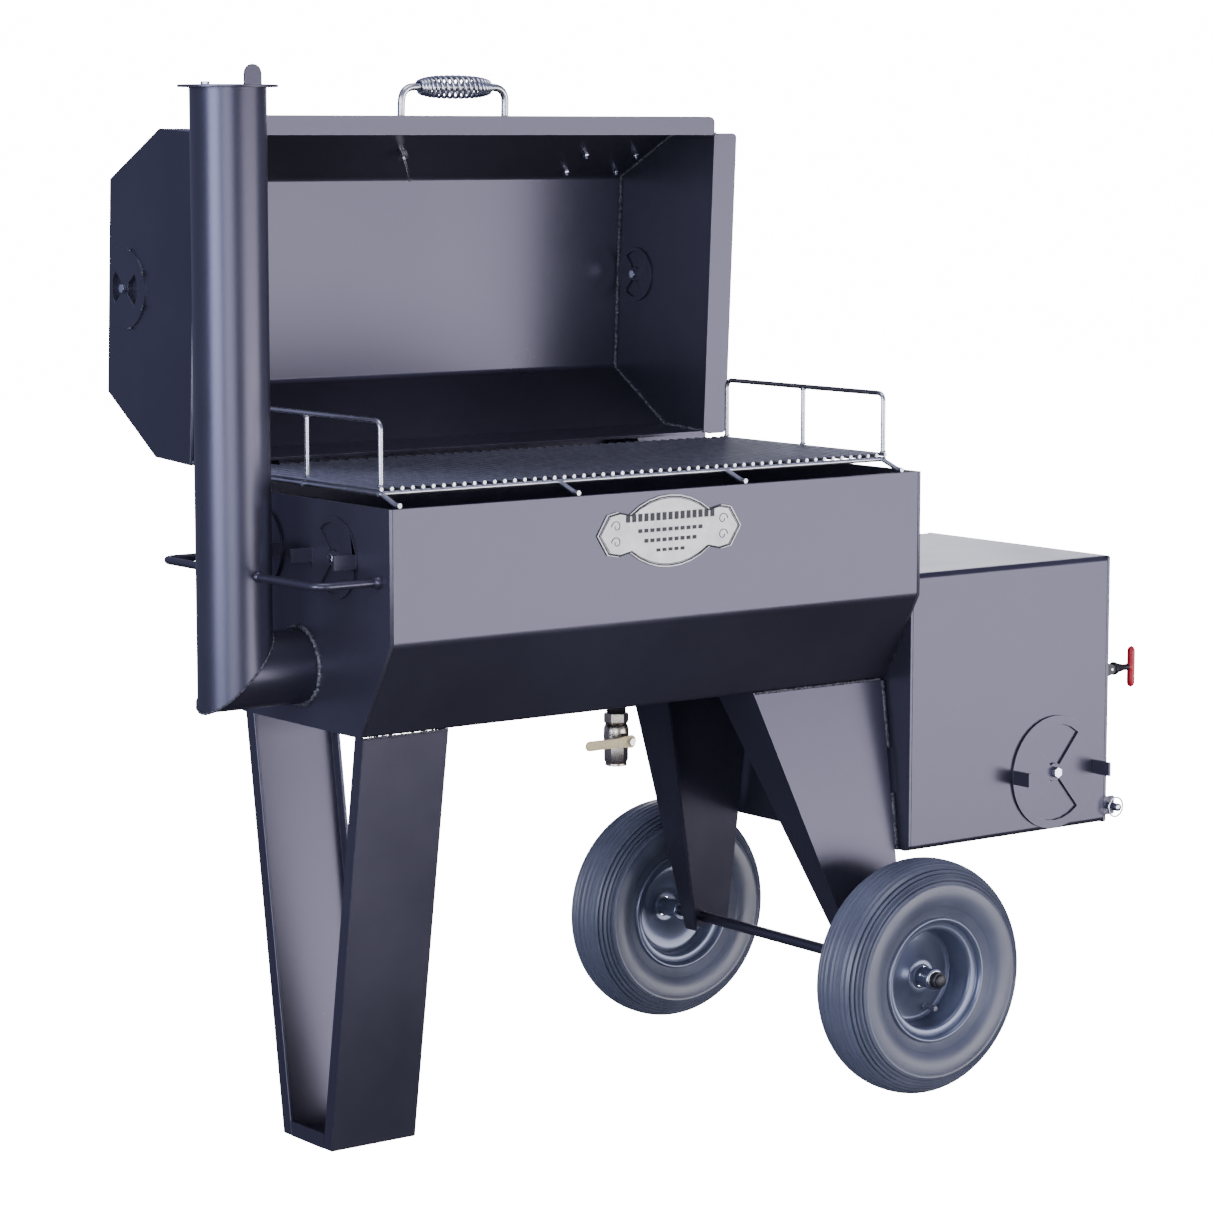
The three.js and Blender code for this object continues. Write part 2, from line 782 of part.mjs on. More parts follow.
function addFirebox() {
  const outer = roundedBox(fireboxFront, fireboxBack, fireboxBottom, fireboxTop, foldRadius);
  const inner = roundedBox(
    fireboxFront + sheet,
    fireboxBack - sheet,
    fireboxBottom + sheet,
    fireboxTop - sheet,
    foldRadius - sheet,
  );
  const shellLeft = fireboxLeft + sheet + gap;
  const shellRight = fireboxRight - doorThickness - gap;
  const cutters = [0, 180].map((middle) =>
    plateY(
      ventSector(damperCentre, ventHub + 5, damperRadius - damperRing - 2, middle, ventHalfAngle - 1),
      fireboxFront - 20,
      fireboxFront + 20,
    ),
  );
  const boltHole = rod(
    vector(damperCentre[0], fireboxFront - 20, damperCentre[1]),
    vector(damperCentre[0], fireboxFront + 20, damperCentre[1]),
    boltRadius + 1 + gap,
  );
  add("firebox_shell", "paint", cut(plateX(outer, shellLeft, shellRight, [inner]), ...cutters, boltHole));
  add("firebox_inner_end", "paint", plateX(outer, fireboxLeft, fireboxLeft + sheet, [
    roundedBox(...passageSpan(), 20),
  ]));

  const bar = 14;
  const left = fireboxLeft + sheet + 12;
  const right = shellRight - 40;
  const front = fireboxFront + sheet + 10;
  const back = fireboxBack - sheet - 10;
  const level = fireboxBottom + fireGrateRise;
  const slots = [];
  for (let x = left + bar; x < right - 2 * bar; x += 2 * bar)
    for (const [y0, y1] of [[front + bar, middleY - bar], [middleY + bar, back - bar]])
      slots.push(block(x, x + bar, y0, y1, level - 1, level + fireGrateThickness + 1));
  const legs = [left, right - bar].flatMap((x) =>
    [front, back - bar].map((y) => block(x, x + bar, y, y + bar, fireboxBottom + sheet + gap, level + 1)),
  );
  const plate = block(left, right, front, back, level, level + fireGrateThickness);
  add("fire_grate", "black", join(cut(plate, ...slots), ...legs));
}

function addDamper() {
  const near = fireboxFront - gap;
  const holes = [circle(boltRadius + 1 + gap, 12, damperCentre)];
  for (const middle of [90, 270])
    holes.push(ventSector(damperCentre, ventHub + 3, damperRadius - damperRing, middle));
  const disc = plateY(circle(damperRadius, 40, damperCentre), near - ventSheet, near, holes);
  const tabs = [1, -1].map((side) => {
    const x = damperCentre[0] + side * (damperRadius - 4);
    return block(x - 2.5, x + 2.5, near - ventSheet - 38, near - 1, damperCentre[1] - 12, damperCentre[1] + 12);
  });
  add("firebox_damper", "paint", join(disc, ...tabs));
  const [x, z] = damperCentre;
  const at = (y) => vector(x, y, z);
  const inside = fireboxFront + sheet;
  add(
    "damper_bolt",
    "zinc",
    join(
      rod(at(near - ventSheet - 9), at(inside + 10), boltRadius + 1),
      rod(at(near - ventSheet - 9), at(near - ventSheet - gap), 9.5, 6),
      rod(at(inside + gap), at(inside + 9), 9.5, 6),
    ),
  );
}

const doorHinge = [fireboxRight - doorThickness / 2, fireboxBack + doorHingeBack];
const doorHingeZs = { upper: fireboxTop - 80, lower: fireboxBottom + 80 };
const latchAt = [fireboxFront + latchInset, fireboxBottom + latchRise];

function addDoor() {
  const left = fireboxRight - doorThickness;
  const panel = plateX(
    roundedBox(fireboxFront, fireboxBack, fireboxBottom, fireboxTop, 4),
    left,
    fireboxRight,
    [circle(8, 16, latchAt)],
  );
  const knuckles = Object.values(doorHingeZs).map((z) => {
    const barrel = rod(vector(...doorHinge, z - 14), vector(...doorHinge, z + 14), 9, 12);
    const leaf = block(
      left + 1,
      fireboxRight - 1,
      fireboxBack - 6,
      fireboxBack + doorHingeBack,
      z - 14,
      z + 14,
    );
    const bore = rod(vector(...doorHinge, z - 20), vector(...doorHinge, z + 20), 4 + runningGap, 12);
    return cut(join(barrel, leaf), bore);
  });
  const pinLug = join(
    block(fireboxRight - 1, fireboxRight + 22, fireboxFront + 2, fireboxFront + 8, fireboxBottom + 12, fireboxBottom + 44),
  );
  const pinHole = rod(
    vector(fireboxRight + 12, fireboxFront - 5, fireboxBottom + 27),
    vector(fireboxRight + 12, fireboxFront + 15, fireboxBottom + 27),
    4.5,
  );
  add("firebox_door", "paint", cut(join(panel, ...knuckles, pinLug), pinHole));

  for (const [name, z] of Object.entries(doorHingeZs)) {
    const shellRight = fireboxRight - doorThickness - gap;
    const leaf = block(shellRight - 46, shellRight - 8, fireboxBack + gap, fireboxBack + gap + 5, z - 40, z + 40);
    const arms = [-1, 1].map((side) => {
      const near = z + side * (14 + runningGap);
      const far = z + side * 40;
      const barrel = rod(vector(...doorHinge, near), vector(...doorHinge, far), 9, 12);
      const web = block(
        shellRight - 20,
        doorHinge[0],
        doorHinge[1] - 5,
        doorHinge[1] + 5,
        Math.min(near, far),
        Math.max(near, far),
      );
      const clear = block(
        shellRight - 4,
        fireboxRight + 20,
        fireboxBack - 20,
        fireboxBack + gap + 1,
        z - 60,
        z + 60,
      );
      const foot = block(
        shellRight - 20,
        shellRight - 10,
        fireboxBack + 2,
        doorHinge[1] + 5,
        Math.min(near, far),
        Math.max(near, far),
      );
      return cut(join(barrel, web, foot), clear);
    });
    const pin = rod(vector(...doorHinge, z - 41), vector(...doorHinge, z + 41), 4, 12);
    add(`door_hinge_base_${name}`, "paint", join(leaf, ...arms, pin));
  }
}

function addLatch() {
  const [y, z] = latchAt;
  const at = (x) => vector(x, y, z);
  const inner = fireboxRight - doorThickness;
  const gripX = fireboxRight + latchGripOut;
  add(
    "latch_shaft",
    "black",
    join(
      rod(at(inner - 16), at(gripX - 9), 6.5, 14),
      rod(at(fireboxRight + gap), at(fireboxRight + 10), 19, 20),
      block(fireboxRight + 9, fireboxRight + 44, y - 9, y + 9, z - 13, z + 13),
      rod(at(fireboxRight + 43), at(fireboxRight + 66), 12, 14, 7),
      block(inner - 15, inner - 10, y - 8, y + 8, z - 8, z + latchTongue),
    ),
  );
  const gripRound = 7;
  const grip = new THREE.CapsuleGeometry(gripRound, latchGripLength - 2 * gripRound, 4, 12)
    .rotateX(Math.PI / 2)
    .translate(gripX, y, z);
  const socket = rod(at(gripX - 8.7), at(gripX), 6, 12);
  add("latch_grip", "red", join(grip, socket));
  const keeperX = inner - 8;
  add(
    "latch_keeper",
    "paint",
    join(
      block(keeperX - 40, keeperX, fireboxFront + sheet + gap, fireboxFront + sheet + gap + 5, z - 24, z + 24),
      block(keeperX, keeperX + 5, fireboxFront + sheet + gap, fireboxFront + sheet + gap + 12, z - 24, z + 24),
      block(keeperX - 1, keeperX + 1, fireboxFront + sheet + gap, fireboxFront + sheet + gap + 5, z - 24, z + 24),
    ),
  );
}

function addLynchPin() {
  const x = fireboxRight + 12;
  const z = fireboxBottom + 27;
  const at = (y) => vector(x, y, z);
  const shank = rod(at(fireboxFront + 26), at(fireboxFront - 20), 4, 12);
  const head = rod(at(fireboxFront - 20), at(fireboxFront - 4), 7, 12);
  const ringRadius = 17;
  const ring = new THREE.TorusGeometry(ringRadius, 1.6, 5, 16)
    .rotateX(Math.PI / 2)
    .translate(x, fireboxFront - 12, z);
  const spoke = rod(
    vector(x - ringRadius, fireboxFront - 12, z),
    vector(x + ringRadius, fireboxFront - 12, z),
    1.6,
    6,
  );
  add("lynch_pin", "zinc", join(shank, head, ring, spoke));
}

// ---- legs ----

function addLeftLegs() {
  const top = tubBottom - gap;
  const web = (y, z) => [y, z];
  const outline = [
    web(slopeRun, top),
    web(slopeRun + legFlange, top),
    web(footInset + legFlange, 0),
    web(footInset, 0),
  ];
  const hollow = [
    web(slopeRun + sheet, top + 1),
    web(slopeRun + legFlange + 20, top + 1),
    web(footInset + legFlange + 20, -1),
    web(footInset + sheet, -1),
  ];
  const leg = cut(plateX(outline, 0, leftLegWidth), plateX(hollow, sheet, leftLegWidth - sheet));
  add("left_leg_front", "paint", leg);
  add("left_leg_rear", "paint", mirroredY(leg));

  const from = footInset + legFlange + gap;
  const to = tubDepth - from;
  const lean = ((footInset - slopeRun) * footHeight) / top;
  const side = [
    [from, 0],
    [to, 0],
    [to + lean, footHeight],
    [from - lean, footHeight],
  ];
  const foot = cut(
    plateX(side, 0, leftLegWidth),
    block(sheet, leftLegWidth - sheet, from - 20, to + 20, sheet, footHeight + 1),
  );
  const inner = footInset + sheet + 1;
  const soleSide = sheet + gap;
  const sole = block(soleSide, leftLegWidth - soleSide, inner, tubDepth - inner, 0, sheet);
  add("left_foot", "paint", join(foot, sole));
}

function addRightLegs() {
  const top = tubBottom - gap;
  const web = plateY(
    [
      [0, top],
      [rightLegTop, top],
      [rightLegBottom, rightLegEnd],
      [0, rightLegEnd],
    ],
    0,
    sheet,
  );
  const flange = plateX(
    [
      [0, top],
      [rightFlangeTop, top],
      [rightFlangeBottom, rightLegEnd],
      [0, rightLegEnd],
    ],
    0,
    sheet,
  );
  const drop = top - rightLegEnd;
  const lean = new THREE.Matrix4().set(
    1, 0, -rightLegLean / drop, (rightLegLean / drop) * top,
    0, 1, rightLegSplay / drop, (-rightLegSplay / drop) * top,
    0, 0, 1, 0,
    0, 0, 0, 1,
  );
  const topLeft = tubLength - 4 - rightLegTop;
  const leaned = join(web, flange).applyMatrix4(lean).translate(topLeft, slopeRun, 0);
  const axleHole = rod(
    vector(axleX, wheelYs.front, tyreRadius),
    vector(axleX, middleY, tyreRadius),
    axleRadius + gap,
    20,
  );
  const leg = cut(leaned, axleHole);
  add("right_leg_front", "paint", leg);
  add("right_leg_rear", "paint", mirroredY(leg));
}

// ---- wheels ----

function lathed(profile, segments, x, y, z) {
  const points = profile.map(([r, h]) => new THREE.Vector2(r, h));
  return new THREE.LatheGeometry(points, segments).translate(x, y, z);
}

const tyreProfile = [
  [rimRadius + gap, -38],
  [rimRadius + 20, -50],
  [tyreRadius - 55, -tyreWidth / 2],
  [tyreRadius - 22, -50],
  [tyreRadius - 6, -34],
  [tyreRadius, 0],
  [tyreRadius - 6, 34],
  [tyreRadius - 22, 50],
  [tyreRadius - 55, tyreWidth / 2],
  [rimRadius + 20, 50],
  [rimRadius + gap, 38],
];

// The half section of a rim whose dished face is on the side of +Y.
const rimProfile = [
  [axleRadius + runningGap, hubHalf],
  [axleRadius + runningGap, -hubHalf],
  [hubRadius, -hubHalf],
  [hubRadius, -4],
  [62, -8],
  [82, -34],
  [rimRadius, -40],
  [rimRadius, 40],
  [82, 32],
  [78, 14],
  [62, 4],
  [hubRadius, 12],
  [hubRadius, hubHalf],
];

function addWheels() {
  for (const [side, y] of Object.entries(wheelYs)) {
    const outward = side === "front" ? -1 : 1;
    const closed = (profile) => [...profile, profile[0]];
    const turned = (profile) => profile.map(([r, h]) => [r, -h]).reverse();
    const face = outward > 0 ? rimProfile : turned(rimProfile);
    const tyre = lathed(closed(tyreProfile), wheelSides, axleX, y, tyreRadius);
    const rim = lathed(closed(face), wheelSides, axleX, y, tyreRadius);
    add(`wheel_tyre_${side}`, "rubber", tyre);
    add(`wheel_rim_${side}`, "rim", rim);
    const start = y + outward * (hubHalf + 1);
    const cap = cut(
      rod(vector(axleX, start, tyreRadius), vector(axleX, start + outward * capLength, tyreRadius), 14, 20),
      rod(
        vector(axleX, start - outward, tyreRadius),
        vector(axleX, start + outward * (capLength - 4), tyreRadius),
        axleRadius + gap,
        20,
      ),
    );
    add(`axle_cap_${side}`, "black", cap);
  }
  const reach = hubHalf + 1 + capLength - 5;
  add(
    "axle",
    "paint",
    rod(
      vector(axleX, wheelYs.front - reach, tyreRadius),
      vector(axleX, wheelYs.rear + reach, tyreRadius),
      axleRadius,
      20,
    ),
  );
}

// ---- cooking grate ----

function addGrate() {
  const right = grateEnd;
  const bottom = grateTop - rodSize;
  const slots = [];
  const count = Math.floor((grateLength - rodSize) / rodPitch);
  const pitch = (grateLength - rodSize) / count;
  for (let i = 0; i < count; i++) {
    const x0 = grateLeft + rodSize + i * pitch;
    const x1 = x0 + pitch - rodSize;
    slots.push(block(x0, x1, grateFront + frameRod, grateBack - frameRod, bottom - 1, grateTop + 1));
  }
  const plate = block(grateLeft, right, grateFront, grateBack, bottom, grateTop);
  add("cooking_grate", "stainless", cut(plate, ...slots));

  const level = bottom - gap - frameRod / 2;
  const inset = frameRod / 2 + 2;
  const runs = [grateFront + inset, middleY, grateBack - inset].map((y) =>
    rod(vector(grateLeft, y, level), vector(right, y, level), frameRod / 2, 6),
  );
  const stubXs = [0, 1, 2, 3].map((i) => grateLeft + inset + (i * (grateLength - 2 * inset)) / 3);
  const rest = rimHeight + gap + frameRod / 2;
  const crossings = stubXs.map((x) =>
    bentRod(
      [
        vector(x, 1, rest),
        vector(x, 14, rest),
        vector(x, grateFront + inset, level),
        vector(x, grateBack - inset, level),
        vector(x, tubDepth - 14, rest),
        vector(x, tubDepth - 1, rest),
      ],
      5,
      frameRod / 2 - 0.2,
      6,
      2,
    ),
  );
  add("grate_frame", "stainless", join(...runs, ...crossings));

  const foot = grateTop + gap;
  const top = grateTop + railHeight;
  for (const [side, x] of Object.entries({ left: grateLeft + 5, right: right - 5 })) {
    const loop = bentRod(
      [
        vector(x, grateFront + 5, foot),
        vector(x, grateFront + 5, top),
        vector(x, railBack, top),
        vector(x, railBack, foot),
      ],
      14,
      frameRod / 2,
    );
    const y = (grateFront + railBack) / 2;
    const post = rod(vector(x, y, foot), vector(x, y, top), frameRod / 2 - 0.2, 8);
    add(`grate_rail_${side}`, "stainless", join(loop, post));
  }
}

// ---- drain ----

function addDrain() {
  const at = (z) => vector(drainX, middleY, z);
  const nippleTop = tubBottom - gap;
  const nipple = cut(
    rod(at(valveTop + gap), at(nippleTop), nippleRadius, 24),
    rod(at(valveTop - 1), at(nippleTop + 1), nippleRadius - 4, 24),
  );
  add("drain_nipple", "black", nipple);
  const hexHeight = 20;
  const bodyHeight = 34;
  const bodyTop = valveTop - hexHeight;
  const bodyEnd = bodyTop - bodyHeight;
  const stemY = middleY - 34;
  const levelZ = (bodyTop + bodyEnd) / 2 - 6;
  const body = cut(
    join(
      rod(at(valveTop), at(bodyTop), valveHex, 6),
      rod(at(bodyTop + 1), at(bodyEnd - 1), 21, 20),
      rod(at(bodyEnd), at(bodyEnd - 34), valveHex - 1, 6),
      rod(vector(drainX, middleY - 15, levelZ), vector(drainX, stemY, levelZ), 10, 14),
      rod(vector(drainX, stemY + 1, levelZ), vector(drainX, stemY - 14, levelZ), 4.5, 12),
    ),
    rod(at(valveTop + 1), at(bodyEnd - 40), nippleRadius - 6, 20),
  );
  add("drain_valve_body", "brass", body);
  const leverY = stemY - 4;
  const lever = plateY(
    [
      ...arc([drainX, levelZ], 12, -90, 90, 8),
      [drainX - 20, levelZ + 10],
      ...arc([drainX - leverLength, levelZ], 8, 90, 270, 6),
      [drainX - 20, levelZ - 10],
    ],
    leverY - 3,
    leverY,
    [circle(4.5 + runningGap, 12, [drainX, levelZ])],
  );
  add("drain_valve_lever", "lever", lever);
}

addTub();
addPlaque();
addChimney();
addSideBars();
addTubVents();
addLidShell();
addLidEnd("lid_left_end", "left");
addLidEnd("lid_right_end", "right");
addLidHandle();
addThermometer();
addLidHinge("left");
addLidHinge("right");
addStopRail();
addFirebox();
addDamper();
addDoor();
addLatch();
addLynchPin();
addLeftLegs();
addRightLegs();
addWheels();
addGrate();
addDrain();

const offsetSmoker = new THREE.Group();
offsetSmoker.add(smoker);
offsetSmoker.updateMatrixWorld(true);
const bounds = new THREE.Box3().setFromObject(smoker, true);
const centre = bounds.getCenter(vector(0, 0, 0));
smoker.position.set(-centre.x, -centre.y, -bounds.min.z);

export default offsetSmoker;
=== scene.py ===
# Offset smoker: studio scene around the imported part. Metres, the part's own frame.
import json
import math
import bmesh
import bpy
from mathutils import Matrix, Quaternion, Vector


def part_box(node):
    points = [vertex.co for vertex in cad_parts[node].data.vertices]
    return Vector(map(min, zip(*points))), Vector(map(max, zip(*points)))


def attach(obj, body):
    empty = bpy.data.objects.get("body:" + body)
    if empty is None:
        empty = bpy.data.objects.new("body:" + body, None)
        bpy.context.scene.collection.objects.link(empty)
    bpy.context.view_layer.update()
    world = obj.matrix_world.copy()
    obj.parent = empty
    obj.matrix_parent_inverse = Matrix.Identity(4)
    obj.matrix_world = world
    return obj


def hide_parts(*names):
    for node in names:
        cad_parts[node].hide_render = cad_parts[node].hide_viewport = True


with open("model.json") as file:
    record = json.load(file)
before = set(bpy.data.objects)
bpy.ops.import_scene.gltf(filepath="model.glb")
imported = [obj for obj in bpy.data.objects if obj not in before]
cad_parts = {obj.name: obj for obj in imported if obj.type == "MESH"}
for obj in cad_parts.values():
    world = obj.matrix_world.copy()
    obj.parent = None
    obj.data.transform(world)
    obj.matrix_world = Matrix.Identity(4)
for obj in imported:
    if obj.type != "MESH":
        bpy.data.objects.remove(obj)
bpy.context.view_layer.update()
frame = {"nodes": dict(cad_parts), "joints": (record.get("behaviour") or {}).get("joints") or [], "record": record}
nodes = frame["nodes"]
record = frame["record"]
joints = {joint["name"]: joint for joint in frame["joints"]}
nodeSlot = {entry["node"]: entry["material_slot"] for entry in record["subparts"]}
nodeBody = {node: body for body, members in record["behaviour"]["bodies"].items() for node in members}

# the cook chamber's left front corner on the ground, which the pieces below are measured from
corner = Vector((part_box("tub_left_end")[1].x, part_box("tub_left_end")[0].y, 0))
hinge = Vector(joints["lid_hinge"]["pos_m"])
lidAngle = max(abs(limit) for limit in joints["lid_hinge"]["range_deg"])
lidTurn = Matrix.Rotation(-math.radians(lidAngle), 3, "X")


def at(x, y, z):
    return corner + Vector((x, y, z)) / 1000


# a point given as if the lid were shut, moved to where it is with the lid open
def onLid(x, y, z):
    return hinge + lidTurn @ (at(x, y, z) - hinge)


# the lid's front slope, as if it were shut: where it starts, and how far it goes back and up
slope = {"front": -10.5, "foot": 1139.5, "back": 91, "rise": 160}
slopeOut = (lidTurn @ Vector((0, -slope["rise"], slope["back"]))).normalized()


def onSlope(x, share):
    return onLid(x, slope["front"] + slope["back"] * share, slope["foot"] + slope["rise"] * share)


print("frame loaded:", len(nodes), "nodes")


def addObject(name, data):
    thing = bpy.data.objects.new(name, data)
    bpy.context.scene.collection.objects.link(thing)
    return thing


# camera, light and floor
studio = {
    "eye": (-2998, -4537, 1583),
    "yaw": 36.68,
    "pitch": 7.30,
    "lens": 108.55,
    "shift": (0.0077, -0.0037),
    "keyPower": 480,
    "floorGlow": 16.0,
    "roomGlow": 16.0,
    "roomLight": 0.4,
    "roomTint": (0.58, 0.60, 1, 1),
    "groundLight": 0.08,
    "fade": (-0.45, 0.1),
    "floorHalf": 14,
}


def makeCamera():
    data = bpy.data.cameras.new("studioCamera")
    camera = addObject("studioCamera", data)
    data.lens = studio["lens"]
    data.sensor_width = 36
    data.shift_x, data.shift_y = studio["shift"]
    data.clip_end = 100
    camera.location = at(*studio["eye"])
    yaw, pitch = math.radians(studio["yaw"]), math.radians(studio["pitch"])
    look = Vector((math.sin(yaw) * math.cos(pitch), math.cos(yaw) * math.cos(pitch), -math.sin(pitch)))
    camera.rotation_euler = look.to_track_quat("-Z", "Y").to_euler()
    bpy.context.scene.camera = camera


def makeLight(name, place, aim, size, power, colour=(1, 1, 1)):
    data = bpy.data.lights.new(name, "AREA")
    data.shape = "RECTANGLE"
    data.size, data.size_y = size
    data.energy = power
    data.color = colour
    light = addObject(name, data)
    light.location = Vector(place)
    light.rotation_euler = (Vector(aim) - Vector(place)).to_track_quat("-Z", "Y").to_euler()
    light.visible_camera = False


def makeRoom():
    world = bpy.data.worlds.new("paleRoom")
    bpy.context.scene.world = world
    world.use_nodes = True
    tree = world.node_tree
    tree.nodes.clear()
    add, link = tree.nodes.new, tree.links.new
    out = add("ShaderNodeOutputWorld")
    seen = add("ShaderNodeBackground")
    seen.inputs["Color"].default_value = (1, 1, 1, 1)
    seen.inputs["Strength"].default_value = studio["roomGlow"]
    lit = add("ShaderNodeBackground")
    lit.inputs["Color"].default_value = studio["roomTint"]
    way = add("ShaderNodeTexCoord")
    split = add("ShaderNodeSeparateXYZ")
    rise = add("ShaderNodeMapRange")
    rise.inputs["From Min"].default_value, rise.inputs["From Max"].default_value = studio["fade"]
    rise.inputs["To Min"].default_value = studio["groundLight"]
    rise.inputs["To Max"].default_value = studio["roomLight"]
    link(way.outputs["Generated"], split.inputs[0])
    link(split.outputs["Z"], rise.inputs["Value"])
    link(rise.outputs["Result"], lit.inputs["Strength"])
    mix = add("ShaderNodeMixShader")
    path = add("ShaderNodeLightPath")
    link(path.outputs["Is Camera Ray"], mix.inputs["Fac"])
    link(lit.outputs[0], mix.inputs[1])
    link(seen.outputs[0], mix.inputs[2])
    link(mix.outputs[0], out.inputs[0])

    bm = bmesh.new()
    bmesh.ops.create_grid(bm, x_segments=1, y_segments=1, size=studio["floorHalf"])
    mesh = bpy.data.meshes.new("floor")
    bm.to_mesh(mesh)
    bm.free()
    floor = addObject("floor", mesh)
    paper = bpy.data.materials.new("palePaper")
    paper.use_nodes = True
    shader = paper.node_tree.nodes["Principled BSDF"]
    shader.inputs["Base Color"].default_value = (0.9, 0.9, 0.91, 1)
    shader.inputs["Roughness"].default_value = 0.9
    shader.inputs["Emission Color"].default_value = (1, 1, 1, 1)
    shader.inputs["Emission Strength"].default_value = studio["floorGlow"]
    mesh.materials.append(paper)
    floor.visible_glossy = False
    floor.visible_diffuse = False
    floor.visible_shadow = False

    key = studio["keyPower"]
    makeLight("frontBox", (4.3, -7.2, -0.1), (0.3, 0, 0.3), (8.5, 3.6), key, (1, 0.98, 1))
    makeLight("eyeBox", (-4.6, -5.6, 1.0), (0, 0, 0.8), (3.4, 3.0), key * 0.36, (0.86, 0.9, 1))
    makeLight("topBox", (-0.4, -1.0, 4.6), (0, 0.2, 0.8), (3.0, 2.2), key * 0.11, (0.93, 0.95, 1))
    makeLight("backRightBox", (4.2, 4.6, 2.2), (0, 0, 0.9), (3.2, 2.4), key * 0.14, (0.95, 0.95, 1))
    makeLight("leftBox", (-6.4, -1.6, 1.6), (0, 0, 0.9), (3.2, 3.2), key * 0.62, (0.72, 0.78, 1))


makeCamera()
makeRoom()
print("studio ready")

# finishes


def newGroup(name, outputs):
    tree = bpy.data.node_groups.new(name, "ShaderNodeTree")
    for label, kind in outputs:
        tree.interface.new_socket(label, in_out="OUTPUT", socket_type=kind)
    return tree, tree.nodes.new("NodeGroupOutput")


def addNode(tree, kind, values=(), **settings):
    node = tree.nodes.new(kind)
    for key, value in settings.items():
        setattr(node, key, value)
    for key, value in values:
        node.inputs[key].default_value = value
    return node


def noise(tree, vector, scale, detail=3, roughness=0.55):
    values = [("Scale", scale), ("Detail", detail), ("Roughness", roughness)]
    node = addNode(tree, "ShaderNodeTexNoise", values)
    tree.links.new(vector, node.inputs["Vector"])
    return node.outputs["Fac"]


def span(tree, value, low, high, toLow=0.0, toHigh=1.0):
    values = [("From Min", low), ("From Max", high), ("To Min", toLow), ("To Max", toHigh)]
    node = addNode(tree, "ShaderNodeMapRange", values)
    tree.links.new(value, node.inputs["Value"])
    return node.outputs["Result"]


def blend(tree, kind, first, second, factor=None):
    node = addNode(tree, "ShaderNodeMath", operation=kind)
    for socket, value in zip(node.inputs, (first, second)):
        if isinstance(value, (int, float)):
            socket.default_value = value
        else:
            tree.links.new(value, socket)
    return node.outputs[0]


# where two faces meet: 1 on a rounded edge, 0 on a flat; used to lighten edges, partly as wear and partly as a
# painted highlight
def edgeGroup():
    tree, out = newGroup("edgeRubAndSheen", [("Mask", "NodeSocketFloat")])
    rounded = addNode(tree, "ShaderNodeBevel", [("Radius", 0.0022)], samples=4)
    geometry = addNode(tree, "ShaderNodeNewGeometry")
    dot = addNode(tree, "ShaderNodeVectorMath", operation="DOT_PRODUCT")
    tree.links.new(rounded.outputs[0], dot.inputs[0])
    tree.links.new(geometry.outputs["Normal"], dot.inputs[1])
    mask = span(tree, dot.outputs["Value"], 0.992, 0.9)
    coordinates = addNode(tree, "ShaderNodeTexCoord")
    broken = span(tree, noise(tree, coordinates.outputs["Object"], 70), 0.38, 0.62)
    tree.links.new(blend(tree, "MULTIPLY", mask, broken), out.inputs[0])
    return tree


# sprayed paint: slow drift in shade, haze of dust on it, fine orange peel
def sprayGroup():
    sockets = [("Shade", "NodeSocketFloat"), ("Dust", "NodeSocketFloat"), ("Peel", "NodeSocketFloat")]
    tree, out = newGroup("sprayCoat", sockets)
    place = addNode(tree, "ShaderNodeTexCoord").outputs["Object"]
    drift = span(tree, noise(tree, place, 2.3, 4), 0.3, 0.7)
    streak = addNode(tree, "ShaderNodeMapping", [("Scale", (14, 14, 1.6))])
    tree.links.new(place, streak.inputs["Vector"])
    runs = span(tree, noise(tree, streak.outputs[0], 1, 5), 0.45, 0.75)
    specks = addNode(tree, "ShaderNodeTexVoronoi", [("Scale", 95.0)], feature="F1")
    tree.links.new(place, specks.inputs["Vector"])
    dots = span(tree, specks.outputs["Distance"], 0.09, 0.03)
    scattered = blend(tree, "MULTIPLY", dots, span(tree, noise(tree, place, 9, 2), 0.6, 0.72))
    peel = noise(tree, place, 420, 2)
    tree.links.new(blend(tree, "MULTIPLY", drift, span(tree, runs, 0, 1, 1, 0.75)), out.inputs["Shade"])
    tree.links.new(scattered, out.inputs["Dust"])
    tree.links.new(peel, out.inputs["Peel"])
    return tree


# fine lines drawn along one axis, with a few deeper scratches across them
def drawnGroup():
    sockets = [("Line", "NodeSocketFloat"), ("Blotch", "NodeSocketFloat")]
    tree, out = newGroup("drawnMetal", sockets)
    place = addNode(tree, "ShaderNodeTexCoord").outputs["Object"]
    stretched = addNode(tree, "ShaderNodeMapping", [("Scale", (900, 60, 900))])
    tree.links.new(place, stretched.inputs["Vector"])
    tree.links.new(noise(tree, stretched.outputs[0], 1, 3), out.inputs["Line"])
    tree.links.new(span(tree, noise(tree, place, 38, 4), 0.3, 0.7), out.inputs["Blotch"])
    return tree


# pitted, lumpy surface of a weld or a casting
def lumpGroup():
    tree, out = newGroup("castLumps", [("Height", "NodeSocketFloat"), ("Tone", "NodeSocketFloat")])
    place = addNode(tree, "ShaderNodeTexCoord").outputs["Object"]
    tree.links.new(noise(tree, place, 520, 4, 0.7), out.inputs["Height"])
    tree.links.new(span(tree, noise(tree, place, 160, 3), 0.35, 0.65), out.inputs["Tone"])
    return tree


groups = {"edge": edgeGroup(), "spray": sprayGroup(), "drawn": drawnGroup(), "lump": lumpGroup()}


def useGroup(tree, name):
    node = tree.nodes.new("ShaderNodeGroup")
    node.node_tree = groups[name]
    return node


def newFinish(name, constants):
    material = bpy.data.materials.new(name)
    material.use_nodes = True
    shader = material.node_tree.nodes["Principled BSDF"]
    for key, value in constants.items():
        shader.inputs[key].default_value = value
    return material, material.node_tree, shader


